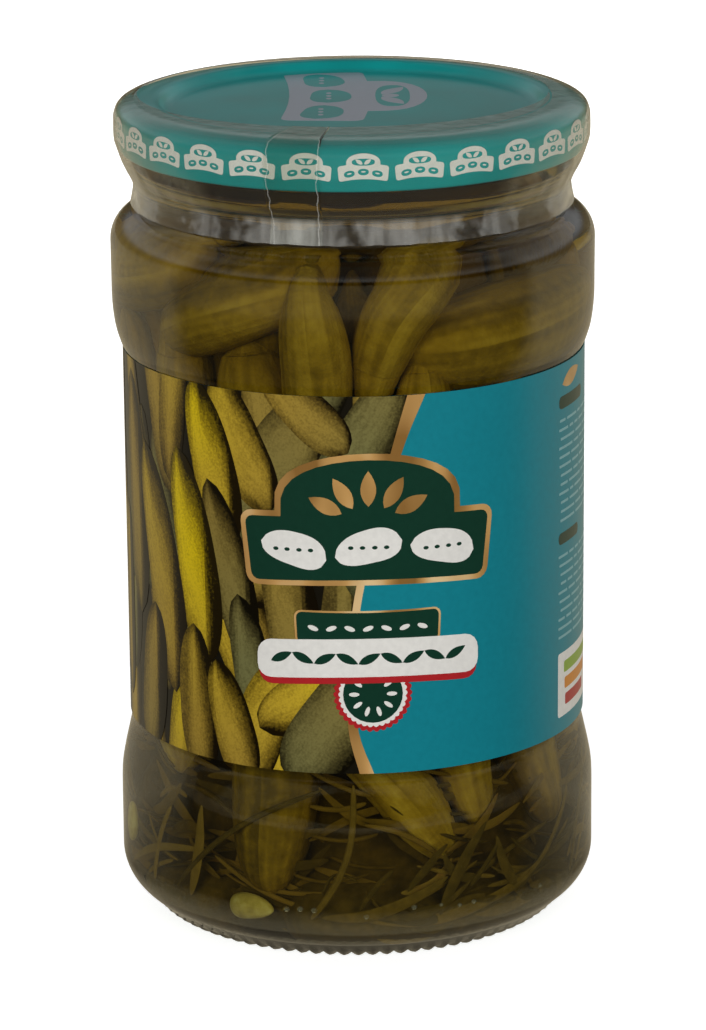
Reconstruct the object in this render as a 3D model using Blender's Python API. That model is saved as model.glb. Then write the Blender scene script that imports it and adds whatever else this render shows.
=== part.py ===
"""A 720 ml glass jar of pickled cucumbers.

The jar stands on its base ring, with its own axis on Z and the photographed side facing -Y. It has
a twist-off lid, a clear shrink band over the lid and neck, a wrap label in a recessed panel, and a
filling of cucumbers, herbs and garlic cloves. Sizes are in millimetres here, and each mesh is in metres.
"""

import math

import bmesh
import bpy
from mathutils import Vector

MM = 0.001

# Outside of the glass
BODY_RADIUS = 44.6
PANEL_RADIUS = 42.3
PANEL_BOTTOM = 36.0
PANEL_TOP = 107.9
NECK_RADIUS = 39.7
NECK_BOTTOM = 134.2
BEAD_RADIUS = 40.8
BEAD_HEIGHT = 141.2
MOUTH_HEIGHT = 150.5
RING_OUTER = 36.8
RING_INNER = 34.6
HEEL_RADIUS = 8.2
SHOULDER_RADIUS = 5.8
SHOULDER_HEIGHT = 127.6

# Inside of the glass
WALL = 2.5
FLOOR_HEIGHT = 5.5
FLOOR_CORNER = 7.0
MOUTH_RADIUS = 36.6

# Lid, band and label
LID_RADIUS = 43.15
LID_BOTTOM = 144.4
LID_TOP = 153.4
LID_RECESS = 2.0
BAND_RADIUS = 43.7
BAND_THICKNESS = 0.2
BAND_BOTTOM = 134.5
BAND_TOP = 153.55
LABEL_RADIUS = 42.85
LABEL_THICKNESS = 0.25
LABEL_BOTTOM = 37.3
LABEL_TOP = 107.7

# How finely the pieces are faceted
SIDES = 48
CORE_SIDES = 14
CUCUMBER_SIDES = 7
CUCUMBER_RINGS = 6
STEM_SIDES = 4

# Filling
WALL_CLEARANCE = 0.5

# Every cucumber that shows: where its two ends lie on the wall as degrees round from the front and
# height, its thickness, how far in from the wall each end is, and its sideways bow.
CUCUMBERS = [
    # lying across the upper window
    {"ends": ((-42, 130), (-104, 119.5)), "thick": 13, "inset": (2.0, 0.0), "bow": 2},
    {"ends": ((-61, 115.5), (-5, 128)), "thick": 12, "inset": (0.0, 3.0), "bow": 1},
    {"ends": ((14.5, 115), (103, 121)), "thick": 17, "inset": (0.0, 0.0), "bow": 3},
    {"ends": ((177, 117), (114, 128)), "thick": 14, "inset": (0.0, 2.0), "bow": -2},
    {"ends": ((-164, 128), (-112, 116)), "thick": 12, "inset": (2.0, 0.0), "bow": 2},
    # upright in the upper window
    {"ends": ((-14, 133), (-11, 92)), "thick": 12, "inset": (0.0, 0.0), "bow": 1},
    {"ends": ((33, 131), (5, 96)), "thick": 12, "inset": (1.0, 0.0), "bow": -8},
    {"ends": ((144, 132), (151, 92)), "thick": 12, "inset": (3.0, 0.0), "bow": 3},
    {"ends": ((-178, 131), (-171, 90)), "thick": 11.5, "inset": (3.0, 0.0), "bow": -3},
    # rising from behind the label
    {"ends": ((-31, 117.5), (-27, 66)), "thick": 15, "inset": (0.5, 0.0), "bow": 2},
    {"ends": ((-58, 117), (-53, 64)), "thick": 13, "inset": (0.5, 0.0), "bow": -2},
    {"ends": ((18, 114.5), (20, 70)), "thick": 11.5, "inset": (0.5, 0.0), "bow": 1},
    {"ends": ((47, 111), (49, 66)), "thick": 12, "inset": (0.5, 0.0), "bow": 2},
    {"ends": ((112, 116), (107, 68)), "thick": 14, "inset": (0.5, 0.0), "bow": -2},
    {"ends": ((-91, 115), (-86, 66)), "thick": 13, "inset": (0.5, 0.0), "bow": 2},
    {"ends": ((-138, 117), (-131, 68)), "thick": 14, "inset": (0.5, 0.0), "bow": 2},
    {"ends": ((171, 113), (166, 70)), "thick": 13, "inset": (0.5, 0.0), "bow": 2},
    # ending in the lower window
    {"ends": ((-66, 27), (-58, 72)), "thick": 12, "inset": (3.0, 1.0), "bow": 2},
    {"ends": ((-21, 16), (-25, 64)), "thick": 16.5, "inset": (3.0, 1.0), "bow": -1},
    {"ends": ((25, 21), (-9, 50)), "thick": 12, "inset": (2.8, 1.5), "bow": -1},
    {"ends": ((34, 27), (29, 66)), "thick": 11, "inset": (3.2, 1.0), "bow": 2},
    {"ends": ((62, 19), (50, 62)), "thick": 13, "inset": (3.0, 1.0), "bow": 2},
    {"ends": ((97, 24), (89, 70)), "thick": 14, "inset": (3.0, 1.0), "bow": 2},
    {"ends": ((141, 17), (118, 56)), "thick": 12, "inset": (3.0, 1.0), "bow": -2},
    {"ends": ((176, 26), (170, 70)), "thick": 13, "inset": (3.0, 1.0), "bow": 1},
    {"ends": ((-144, 18), (-150, 64)), "thick": 14, "inset": (3.0, 1.0), "bow": 2},
    {"ends": ((-101, 25), (-112, 66)), "thick": 12, "inset": (3.0, 1.0), "bow": -3},
]

# Radius and height of the dark packed middle, from the bottom up.
CORE_OUTLINE = [(20, 14), (28, 17), (29.5, 33), (28.5, 60), (29, 98), (31.2, 112), (31.2, 123), (24, 130)]

# Stems and leaves in the lower window: two ends on the wall, width, thickness and bow.
HERBS = [
    {"ends": ((-76, 9.5), (-40, 19)), "wide": 1.8, "thick": 1.0, "bow": 2},
    {"ends": ((-62, 9.0), (-54, 25)), "wide": 1.2, "thick": 0.9, "bow": 1},
    {"ends": ((-47, 9.0), (-43, 27)), "wide": 2.6, "thick": 0.9, "bow": -1},
    {"ends": ((-52, 10.0), (-9, 33)), "wide": 1.1, "thick": 0.9, "bow": 3},
    {"ends": ((-12, 8.5), (-1, 34)), "wide": 1.3, "thick": 1.1, "bow": -3},
    {"ends": ((-9, 9.0), (23, 16)), "wide": 2.6, "thick": 0.8, "bow": -2},
    {"ends": ((2, 8.5), (54, 15)), "wide": 2.2, "thick": 0.8, "bow": -3},
    {"ends": ((21, 8.5), (34, 25)), "wide": 2.6, "thick": 0.9, "bow": 1},
    {"ends": ((46, 8.5), (37, 22)), "wide": 2.4, "thick": 0.8, "bow": 1},
    {"ends": ((32, 9.0), (66, 26)), "wide": 1.2, "thick": 0.9, "bow": -4},
    {"ends": ((67, 8.5), (82, 30)), "wide": 1.3, "thick": 1.0, "bow": 2},
    {"ends": ((74, 9.5), (112, 16)), "wide": 2.4, "thick": 0.8, "bow": 2},
    {"ends": ((100, 8.5), (126, 28)), "wide": 1.3, "thick": 1.0, "bow": -2},
    {"ends": ((130, 9.0), (170, 15)), "wide": 2.6, "thick": 0.8, "bow": 2},
    {"ends": ((151, 8.5), (161, 27)), "wide": 2.2, "thick": 0.9, "bow": -2},
    {"ends": ((-176, 9.0), (-128, 17)), "wide": 2.4, "thick": 0.8, "bow": 2},
    {"ends": ((-121, 8.5), (-109, 29)), "wide": 1.3, "thick": 1.0, "bow": 3},
    {"ends": ((-93, 9.0), (-129, 24)), "wide": 1.2, "thick": 0.9, "bow": -3},
]

# Radius and height of the matted herbs on the floor, a low mound under the core.
BED_OUTLINE = [(30, 6.4), (34.3, 8), (34, 10.5), (26, 12.5), (18, 13.4)]

CLOVES = {
    "garlic_clove_front": {"ends": ((-35, 9.9), (-23, 10.2)), "thick": 5.0},
    "garlic_clove_side": {"ends": ((-80, 12.5), (-77, 20.5)), "thick": 5.0},
}


def arc(centre, radius, first, last, steps):
    """Points of an arc as (radius from the axis, height), its angles in degrees from the horizontal."""
    points = []
    for step in range(steps + 1):
        angle = math.radians(first + (last - first) * step / steps)
        points.append((centre[0] + radius * math.cos(angle), centre[1] + radius * math.sin(angle)))
    return points


def inner_wall():
    """The inside of the glass as (radius, height), from the floor's corner up to the neck."""
    corner = (BODY_RADIUS - WALL - FLOOR_CORNER, FLOOR_HEIGHT + FLOOR_CORNER)
    shoulder = (BODY_RADIUS - SHOULDER_RADIUS, SHOULDER_HEIGHT)
    wall = arc(corner, FLOOR_CORNER, -90, 0, 4)
    wall += [(42.0, 25), (40.6, 32.6), (PANEL_RADIUS - WALL, PANEL_BOTTOM)]
    wall += [(PANEL_RADIUS - WALL, PANEL_TOP), (41.5, 111.6)]
    wall += arc(shoulder, SHOULDER_RADIUS - WALL, 0, 72, 3)
    wall += [(NECK_RADIUS - WALL, NECK_BOTTOM - 1.6), (MOUTH_RADIUS, MOUTH_HEIGHT - 1)]
    return wall


def wall_radius(height):
    """Inside radius of the glass at a height, read from its outline."""
    outline = inner_wall()
    for (low_radius, low), (high_radius, high) in zip(outline, outline[1:]):
        if low <= height <= high and high > low:
            return low_radius + (high_radius - low_radius) * (height - low) / (high - low)
    return outline[0][0] if height < outline[0][1] else outline[-1][0]


def material(name, colour, roughness, alpha=1.0):
    """A plain Principled material in the part's own colour."""
    made = bpy.data.materials.new(name)
    made.use_nodes = True
    shader = made.node_tree.nodes["Principled BSDF"]
    shader.inputs["Base Color"].default_value = (*colour, 1.0)
    shader.inputs["Roughness"].default_value = roughness
    shader.inputs["Metallic"].default_value = 0.0
    shader.inputs["Alpha"].default_value = alpha
    return made


def finish(mesh_data, name, finish_material, smooth_angle=40):
    """Puts a bmesh into the scene as one named object with its faces turned out."""
    bmesh.ops.recalc_face_normals(mesh_data, faces=mesh_data.faces)
    mesh = bpy.data.meshes.new(name)
    mesh_data.to_mesh(mesh)
    mesh_data.free()
    mesh.materials.append(finish_material)
    mesh.shade_smooth()
    mesh.set_sharp_from_angle(angle=math.radians(smooth_angle))
    made = bpy.data.objects.new(name, mesh)
    bpy.context.collection.objects.link(made)
    return made


def turned(name, outline, finish_material, sides=SIDES, closed=True):
    """A round piece spun about Z from an outline of (radius, height) points."""
    built = bmesh.new()
    points = [built.verts.new((radius * MM, 0.0, height * MM)) for radius, height in outline]
    edges = [built.edges.new(pair) for pair in zip(points, points[1:])]
    if closed:
        edges.append(built.edges.new((points[-1], points[0])))
    bmesh.ops.spin(
        built,
        geom=points + edges,
        cent=(0.0, 0.0, 0.0),
        axis=(0.0, 0.0, 1.0),
        dvec=(0.0, 0.0, 0.0),
        angle=2 * math.pi,
        steps=sides,
        use_merge=True,
    )
    bmesh.ops.remove_doubles(built, verts=built.verts, dist=0.001 * MM)
    return finish(built, name, finish_material)


def on_wall(azimuth, height, inset):
    """The point at an azimuth from the front and a height, a distance in from the glass."""
    radius = wall_radius(height) - inset
    turn = math.radians(azimuth)
    return Vector((radius * math.sin(turn), -radius * math.cos(turn), height)) * MM


def route(ends, insets, bow, half, steps):
    """Points along the wall between two ends, closer together towards both, bowed sideways."""
    (first_azimuth, first_height), (last_azimuth, last_height) = ends
    turn = last_azimuth - first_azimuth
    across = math.radians(turn) * BODY_RADIUS
    length = math.hypot(across, last_height - first_height)
    points = []
    for step in range(steps + 1):
        along = (1 - math.cos(math.pi * step / steps)) / 2
        side = bow * math.sin(math.pi * along)
        azimuth = first_azimuth + turn * along
        azimuth += math.degrees(-side * (last_height - first_height) / length / BODY_RADIUS)
        height = first_height + (last_height - first_height) * along + side * across / length
        tightest = min(wall_radius(height + reach) for reach in (-0.8 * half, 0.0, 0.8 * half))
        inset = insets[0] + (insets[1] - insets[0]) * along
        inset += WALL_CLEARANCE + half + wall_radius(height) - tightest
        points.append(on_wall(azimuth, height, inset))
    return points


def tapered(name, points, half_width, half_depth, sides, finish_material):
    """A solid of round or flat section along a route: blunt at both ends, a little slimmer at the last."""
    built = bmesh.new()
    rings = []
    last = len(points) - 1
    for index in range(1, last):
        along = (1 - math.cos(math.pi * index / last)) / 2
        swell = math.sqrt(1 - abs(2 * along - 1) ** 2.6) * (1.04 - 0.14 * along) * MM
        forward = (points[index + 1] - points[index - 1]).normalized()
        outward = Vector((points[index].x, points[index].y, 0.0))
        outward = (outward - outward.dot(forward) * forward).normalized()
        sideways = forward.cross(outward)
        ring = []
        for corner in range(sides):
            angle = 2 * math.pi * (corner + 0.5) / sides
            offset = sideways * (math.cos(angle) * half_width) + outward * (math.sin(angle) * half_depth)
            ring.append(built.verts.new(points[index] + offset * swell))
        rings.append(ring)
    tips = [built.verts.new(points[0]), built.verts.new(points[-1])]
    for low, high in zip(rings, rings[1:]):
        for corner in range(sides):
            after = (corner + 1) % sides
            built.faces.new((low[corner], low[after], high[after], high[corner]))
    for tip, ring in zip(tips, (rings[0], rings[-1])):
        for corner in range(sides):
            built.faces.new((tip, ring[corner], ring[(corner + 1) % sides]))
    return finish(built, name, finish_material, 60)


def fuse(core, pieces):
    """Joins the pieces to the core as one closed solid and clears them away."""
    group = bpy.data.collections.new(core.name + "_pieces")
    bpy.context.scene.collection.children.link(group)
    for piece in pieces:
        bpy.context.collection.objects.unlink(piece)
        group.objects.link(piece)
    join = core.modifiers.new("join", "BOOLEAN")
    join.operation = "UNION"
    join.operand_type = "COLLECTION"
    join.collection = group
    join.solver = "EXACT"
    bpy.context.view_layer.update()
    evaluated = core.evaluated_get(bpy.context.evaluated_depsgraph_get())
    mesh = bpy.data.meshes.new_from_object(evaluated)
    core.modifiers.remove(join)
    core.data = mesh
    for piece in list(group.objects):
        bpy.data.objects.remove(piece)
    bpy.data.collections.remove(group)
    keep_main_body(core)


def keep_main_body(piece):
    """Keeps only the outer skin of the largest closed body of a fused mesh, and welds its slivers."""
    built = bmesh.new()
    built.from_mesh(piece.data)
    bmesh.ops.dissolve_degenerate(built, edges=built.edges, dist=0.002 * MM)
    bmesh.ops.triangulate(built, faces=built.faces)
    unseen = set(built.faces)
    shells = []
    while unseen:
        shell = [unseen.pop()]
        for face in shell:
            for edge in face.edges:
                for neighbour in edge.link_faces:
                    if neighbour in unseen:
                        unseen.remove(neighbour)
                        shell.append(neighbour)
        shells.append(shell)
    shells.sort(key=len, reverse=True)
    scraps = [face for shell in shells[1:] for face in shell]
    bmesh.ops.delete(built, geom=scraps, context="FACES")
    built.to_mesh(piece.data)
    built.free()
    piece.data.shade_smooth()
    piece.data.set_sharp_from_angle(angle=math.radians(60))


def make_glass_jar():
    """The jar: pushed-up base, rounded heel, label panel, shoulder, neck bead and open mouth."""
    heel = (BODY_RADIUS - HEEL_RADIUS, 10.2)
    shoulder = (BODY_RADIUS - SHOULDER_RADIUS, SHOULDER_HEIGHT)
    outline = [(0.0, 2.6), (28.0, 2.0), (33.6, 0.9), (RING_INNER, 0.0), (RING_OUTER, 0.0), (39.2, 1.6)]
    outline += arc(heel, HEEL_RADIUS, -60, 0, 5)
    outline += [(BODY_RADIUS, 20), (44.5, 25), (43.9, 29), (43.1, 32.6), (PANEL_RADIUS, PANEL_BOTTOM)]
    outline += [(PANEL_RADIUS, PANEL_TOP), (43.2, 108.4), (44.0, 111.6), (44.55, 116)]
    outline += arc(shoulder, SHOULDER_RADIUS, 0, 72, 5)
    outline += [(NECK_RADIUS, NECK_BOTTOM), (NECK_RADIUS, BEAD_HEIGHT - 2.8)]
    outline += [(BEAD_RADIUS - 0.2, BEAD_HEIGHT - 0.9), (BEAD_RADIUS - 0.1, BEAD_HEIGHT + 0.5)]
    outline += [(39.0, BEAD_HEIGHT + 2.0), (39.0, MOUTH_HEIGHT - 0.9), (38.1, MOUTH_HEIGHT)]
    outline += [(37.3, MOUTH_HEIGHT)]
    outline += reversed(inner_wall())
    outline += [(0.0, FLOOR_HEIGHT + 0.5)]
    glass = material("clear_glass", (0.82, 0.88, 0.84), 0.05, 0.35)
    return turned("glass_jar", outline, glass, closed=False)


def make_lid():
    """The pressed lid: sunken middle, raised bead, rounded shoulder, and a skirt drawn in to a curl."""
    recess = LID_TOP - LID_RECESS
    outline = [(0.0, recess), (33.4, recess), (34.2, recess + 0.5), (35.2, LID_TOP - 0.3)]
    outline += [(36.4, LID_TOP), (37.8, LID_TOP - 0.3), (40.4, LID_TOP - 0.55), (42.3, LID_TOP - 1.3)]
    outline += [(LID_RADIUS, LID_TOP - 2.5), (LID_RADIUS, LID_BOTTOM + 2.6), (42.5, LID_BOTTOM + 0.3)]
    outline += [(41.9, LID_BOTTOM), (41.2, LID_BOTTOM + 0.4), (41.6, LID_TOP - 2.7), (40.2, LID_TOP - 1.4)]
    outline += [(36.4, LID_TOP - 1.0), (34.8, recess - 0.6), (0.0, recess - 0.4)]
    lacquer = material("teal_lacquer", (0.02, 0.30, 0.30), 0.3)
    return turned("lid", outline, lacquer, closed=False)


def make_shrink_band():
    """The clear film from the lid's top edge down over its side to the foot of the neck."""
    outer = [(39.2, BAND_TOP), (40.6, BAND_TOP - 0.15), (42.75, BAND_TOP - 1.0)]
    outer += [(BAND_RADIUS, BAND_TOP - 2.4), (BAND_RADIUS, 146.6), (41.75, 141.2)]
    outer += [(40.25, 138.4), (40.25, BAND_BOTTOM)]
    inner = [(radius, height - BAND_THICKNESS) for radius, height in outer[:2]]
    inner += [(42.58, BAND_TOP - 1.2)]
    inner += [(radius - BAND_THICKNESS, height) for radius, height in outer[3:]]
    film = material("clear_film", (0.9, 0.92, 0.92), 0.15, 0.2)
    return turned("shrink_band", outer + inner[::-1], film)


def make_label():
    """The printed wrap, a thin sleeve in the panel."""
    inner = LABEL_RADIUS - LABEL_THICKNESS
    outline = [(LABEL_RADIUS, LABEL_TOP), (LABEL_RADIUS, LABEL_BOTTOM)]
    outline += [(inner, LABEL_BOTTOM), (inner, LABEL_TOP)]
    paper = material("printed_label", (0.02, 0.25, 0.30), 0.4)
    return turned("label", outline, paper)


def make_cucumber(index, laid, skin):
    """One cucumber, laid along the wall of the jar."""
    half = laid["thick"] / 2
    points = route(laid["ends"], laid["inset"], laid["bow"], half, CUCUMBER_RINGS + 1)
    return tapered(f"cucumber_{index}", points, half, half, CUCUMBER_SIDES, skin)


def make_pickle_heap():
    """The packed cucumbers: a core with every cucumber that shows fused to it."""
    skin = material("cucumber_skin", (0.16, 0.13, 0.02), 0.35)
    outline = [(0.0, CORE_OUTLINE[0][1])] + CORE_OUTLINE + [(0.0, CORE_OUTLINE[-1][1])]
    heap = turned("pickle_heap", outline, skin, CORE_SIDES, closed=False)
    fuse(heap, [make_cucumber(index, laid, skin) for index, laid in enumerate(CUCUMBERS)])
    return heap


def make_herb_bed():
    """The matted herbs on the floor with the stems and leaves that rise along the wall."""
    leaf = material("herb", (0.09, 0.06, 0.01), 0.5)
    outline = [(0.0, BED_OUTLINE[0][1])] + BED_OUTLINE + [(0.0, BED_OUTLINE[-1][1])]
    bed = turned("herb_bed", outline, leaf, CORE_SIDES + 2, closed=False)
    sprigs = []
    for index, laid in enumerate(HERBS):
        foot = on_wall(laid["ends"][0][0], laid["ends"][0][1], wall_radius(laid["ends"][0][1]) - 31.0)
        points = route(laid["ends"], (0.4, 0.4), laid["bow"], laid["thick"] / 2, 5)
        sprigs.append(
            tapered(f"sprig_{index}", [foot, *points], laid["wide"] / 2, laid["thick"] / 2, STEM_SIDES, leaf)
        )
    fuse(bed, sprigs)
    return bed


def make_clove(name, laid):
    """One peeled clove, flatter than it is wide."""
    half = laid["thick"] / 2
    points = route(laid["ends"], (0.0, 0.0), 0.6, half, 6)
    return tapered(name, points, half, half * 0.85, 8, material(name, (0.55, 0.5, 0.25), 0.4))


def main():
    """Clears the scene and builds every piece of the jar."""
    for old in list(bpy.data.objects):
        bpy.data.objects.remove(old)
    make_glass_jar()
    make_lid()
    make_shrink_band()
    make_label()
    make_pickle_heap()
    make_herb_bed()
    for name, laid in CLOVES.items():
        make_clove(name, laid)


main()
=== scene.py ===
"""Dresses a shut jar of pickled cucumbers: moulded glass, lacquered lid, shrunk film, a printed wrap, and
the cucumbers, herbs and garlic in their brine.

The jar stands on Z, and the photographed side of its wrap faces -Y. Sizes are in millimetres, and places on
the round wall are degrees from the front, to the right, with a height.
"""

import logging
import math
import random
from collections.abc import Callable, Sequence
from dataclasses import dataclass, field
from enum import Enum

import bpy
from mathutils import Matrix, Vector, noise


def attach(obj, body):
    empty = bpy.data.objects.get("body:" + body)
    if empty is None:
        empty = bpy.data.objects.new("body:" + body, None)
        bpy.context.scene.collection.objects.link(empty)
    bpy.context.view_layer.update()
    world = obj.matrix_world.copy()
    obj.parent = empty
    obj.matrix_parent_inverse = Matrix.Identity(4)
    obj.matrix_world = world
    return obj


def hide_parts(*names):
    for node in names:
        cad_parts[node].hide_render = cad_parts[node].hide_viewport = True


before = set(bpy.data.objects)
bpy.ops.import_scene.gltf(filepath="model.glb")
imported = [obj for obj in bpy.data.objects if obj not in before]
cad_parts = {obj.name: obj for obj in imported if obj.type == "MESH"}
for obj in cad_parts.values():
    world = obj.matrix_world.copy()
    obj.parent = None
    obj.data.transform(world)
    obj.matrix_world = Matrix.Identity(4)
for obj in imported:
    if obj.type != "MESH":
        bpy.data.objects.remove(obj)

MM = 0.001
COLUMNS = 240
COLUMN_ANGLE = 2 * math.pi / COLUMNS
Point = tuple[float, float]
Outline = list[Point]
log = logging.getLogger("pickle_jar")


# Small tools


def linear(colour: str, alpha: float = 1.0) -> tuple[float, float, float, float]:
    """Turns an sRGB hex colour into linear values.

    Args:
        colour: six hex digits, such as "1c8c90".
        alpha: the fourth value.

    Returns:
        Red, green, blue and alpha, linear.
    """
    parts = [int(colour[place : place + 2], 16) / 255 for place in (0, 2, 4)]
    red, green, blue = (((part + 0.055) / 1.055) ** 2.4 if part > 0.04045 else part / 12.92 for part in parts)
    return (red, green, blue, alpha)


def feed(node: bpy.types.Node, inputs: dict[int | str, object]) -> None:
    """Gives a node's inputs their values and links.

    Args:
        node: the node.
        inputs: for each input, a value, a socket, or a node that stands for its first socket.
    """
    for name, value in inputs.items():
        if isinstance(value, bpy.types.Node):
            value = value.outputs[0]
        if isinstance(value, bpy.types.NodeSocket):
            node.id_data.links.new(value, node.inputs[name])
        else:
            node.inputs[name].default_value = value


def add_node(
    tree: bpy.types.NodeTree,
    kind: str,
    inputs: dict[int | str, object] | None = None,
    stops: Sequence[tuple[float, str]] = (),
    **settings: object,
) -> bpy.types.Node:
    """Adds a node with its settings, colour stops and links.

    Args:
        tree: the node tree.
        kind: the node's type without the leading "ShaderNode".
        inputs: what feed takes.
        stops: place and hex colour of each stop, for a colour ramp.
        settings: the node's own properties.

    Returns:
        The new node.
    """
    node = tree.nodes.new("ShaderNode" + kind)
    for name, value in settings.items():
        setattr(node, name, value)
    feed(node, inputs or {})
    for index, (place, colour) in enumerate(stops):
        elements = node.color_ramp.elements
        stop = elements[index] if index < 2 else elements.new(place)
        stop.position = place
        stop.color = linear(colour)
    return node


def start_material(name: str, settings: dict[str, object]) -> tuple[bpy.types.Material, bpy.types.Node]:
    """Makes a Principled material.

    Args:
        name: the finish's name.
        settings: the shader's own socket values.

    Returns:
        The material and its Principled node.
    """
    made = bpy.data.materials.new(name)
    made.use_nodes = True
    shader = made.node_tree.nodes["Principled BSDF"]
    feed(shader, settings)
    return made, shader


def pass_shadow_rays(made: bpy.types.Material, shader: bpy.types.Node, tint: str) -> None:
    """Lets direct light through a clear material, as real glass does.

    Args:
        made: the material.
        shader: its surface shader.
        tint: the colour that the light takes.
    """
    tree = made.node_tree
    path = add_node(tree, "LightPath")
    clear = add_node(tree, "BsdfTransparent", {"Color": linear(tint)})
    mixed = add_node(tree, "MixShader", {0: path.outputs["Is Shadow Ray"], 1: shader, 2: clear})
    feed(tree.nodes["Material Output"], {"Surface": mixed})


def deselect() -> None:
    """Leaves edit mode, if it is on, and selects nothing."""
    if bpy.context.object and bpy.context.mode != "OBJECT":
        bpy.ops.object.mode_set(mode="OBJECT")
    bpy.ops.object.select_all(action="DESELECT")


def pick(piece: bpy.types.Object) -> None:
    """Selects one piece and makes it active."""
    deselect()
    piece.select_set(True)
    bpy.context.view_layer.objects.active = piece


def rename(piece: bpy.types.Object, name: str) -> bpy.types.Object:
    """Names a piece and its mesh, and returns the piece."""
    piece.name = name
    piece.data.name = name
    return piece


def smooth(piece: bpy.types.Object, angle: float = 40) -> None:
    """Shades a piece smooth, apart from edges sharper than the angle in degrees."""
    pick(piece)
    bpy.ops.object.shade_smooth_by_angle(angle=math.radians(angle))


def join(name: str, parts: Sequence[bpy.types.Object]) -> bpy.types.Object:
    """Joins parts into one named piece and returns it."""
    deselect()
    for part in parts:
        part.select_set(True)
    bpy.context.view_layer.objects.active = parts[0]
    if len(parts) > 1:
        bpy.ops.object.join()
    return rename(bpy.context.object, name)


def dress(
    piece: bpy.types.Object, finish: bpy.types.Material, nodes: Sequence[str] = ()
) -> bpy.types.Object:
    """Gives a piece its finish and its place in the frame.

    Args:
        piece: the finished piece.
        finish: its material.
        nodes: the solids that it stands for.

    Returns:
        The piece.
    """
    piece.data.materials.clear()
    piece.data.materials.append(finish)
    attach(piece, "root")
    if nodes:
        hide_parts(*nodes)
    return piece


def mark(piece: bpy.types.Object, name: str, value: float) -> None:
    """Writes one number to every point of a piece, for its material to read."""
    layer = piece.data.attributes.new(name, "FLOAT", "POINT")
    layer.data.foreach_set("value", [value] * len(piece.data.vertices))


def reshape(piece: bpy.types.Object, move: Callable[[Vector], Vector]) -> None:
    """Moves every point of a piece to where the function puts it."""
    for vertex in piece.data.vertices:
        vertex.co = move(vertex.co)
    piece.data.update()


# Outlines


def arc(centre: Point, radius: float, first: float, last: float, steps: int) -> Outline:
    """Points of an arc, its angles in degrees from the horizontal."""
    angles = [math.radians(first + (last - first) * step / steps) for step in range(steps + 1)]
    return [(centre[0] + radius * math.cos(angle), centre[1] + radius * math.sin(angle)) for angle in angles]


def tilted(points: Sequence[Point], centre: Point, tilt: float) -> Outline:
    """Points about the origin, tilted by degrees and moved to a centre."""
    angle = math.radians(tilt)
    placed = []
    for across, up in points:
        right = centre[0] + across * math.cos(angle) - up * math.sin(angle)
        placed.append((right, centre[1] + across * math.sin(angle) + up * math.cos(angle)))
    return placed


def smooth_through(points: Sequence[Point], steps: int = 4) -> Outline:
    """A smooth line through points, with a few steps between each pair."""
    padded = [points[0], *points, points[-1]]
    line: Outline = []
    for before, start, end, after in zip(padded, padded[1:], padded[2:], padded[3:]):
        for step in range(steps):
            part = step / steps
            line.append(
                tuple(
                    0.5
                    * (
                        2 * start[axis]
                        + (end[axis] - before[axis]) * part
                        + (2 * before[axis] - 5 * start[axis] + 4 * end[axis] - after[axis]) * part**2
                        + (3 * start[axis] - before[axis] - 3 * end[axis] + after[axis]) * part**3
                    )
                    for axis in (0, 1)
                )
            )
    return [*line, points[-1]]


def across_at(points: Sequence[Point], up: float) -> float:
    """How far across the smooth line through points is, at a height."""
    line = smooth_through(points, 8)
    for (low_across, low), (high_across, high) in zip(line, line[1:]):
        if low <= up <= high:
            return low_across + (high_across - low_across) * (up - low) / (high - low)
    return line[0][0] if up < line[0][1] else line[-1][0]


def oval(
    centre: Point, width: float, height: float, tilt: float = 0.0, power: float = 2.0, corners: int = 28
) -> Outline:
    """A tilted oval, squarer for a higher power, as (across, up)."""
    points = []
    for corner in range(corners):
        angle = 2 * math.pi * corner / corners
        across = math.copysign(abs(math.cos(angle)) ** (2 / power), math.cos(angle)) * width / 2
        up = math.copysign(abs(math.sin(angle)) ** (2 / power), math.sin(angle)) * height / 2
        points.append((across, up))
    return tilted(points, centre, tilt)


def plate(
    centre: Point,
    width: float,
    height: float,
    corner: float,
    flare: float = 0.0,
    sag: float = 0.0,
    hump: float = 0.0,
    rise: float = 0.0,
) -> Outline:
    """A round-cornered plate as (across, up).

    Args:
        centre: its middle.
        width: its width.
        height: its height, without the hump.
        corner: radius of its corners.
        flare: how much wider its top is than its bottom, as a share.
        sag: how far its middle hangs.
        hump: width of a hump on its top, if any.
        rise: height of that hump.

    Returns:
        The outline.
    """
    reach, stand = width / 2 - corner, height / 2 - corner
    shares = (0.6, 0.3, 0.0, -0.3, -0.6)
    low = [(-reach * share, -height / 2) for share in shares]
    high = [(reach * share, height / 2) for share in shares]
    if hump:
        angles = [math.pi * step / 16 for step in range(17)]
        high = [(hump / 2 * math.cos(angle), height / 2 + rise * math.sin(angle) ** 0.7) for angle in angles]
    points = arc((-reach, -stand), corner, 180, 270, 4) + low + arc((reach, -stand), corner, 270, 360, 4)
    points += arc((reach, stand), corner, 0, 90, 4) + high + arc((-reach, stand), corner, 90, 180, 4)
    placed = []
    for across, up in points:
        bend = sag * (1 - (2 * across / width) ** 2)
        placed.append((centre[0] + across * (1 + flare * up / height), centre[1] + up - bend))
    return placed


def spindle(centre: Point, width: float, length: float, tilt: float, bend: float, steps: int = 20) -> Outline:
    """A gherkin's outline, tapered to both ends and a little bent, as (across, up)."""
    spine = [2 * step / steps - 1 for step in range(steps + 1)]
    points = []
    for side, way in ((1, spine), (-1, spine[-2:0:-1])):
        for along in way:
            half = side * spindle_half(along) * width / 2
            points.append((bend * (1 - along**2) + half, along * length / 2))
    return tilted(points, centre, tilt)


def spindle_half(along: float) -> float:
    """The share of a gherkin's half width that it has at -1 to 1 along itself."""
    return max(0.0, 1 - abs(along) ** 2.9) ** 0.58 * (1 - 0.1 * along)


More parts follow.
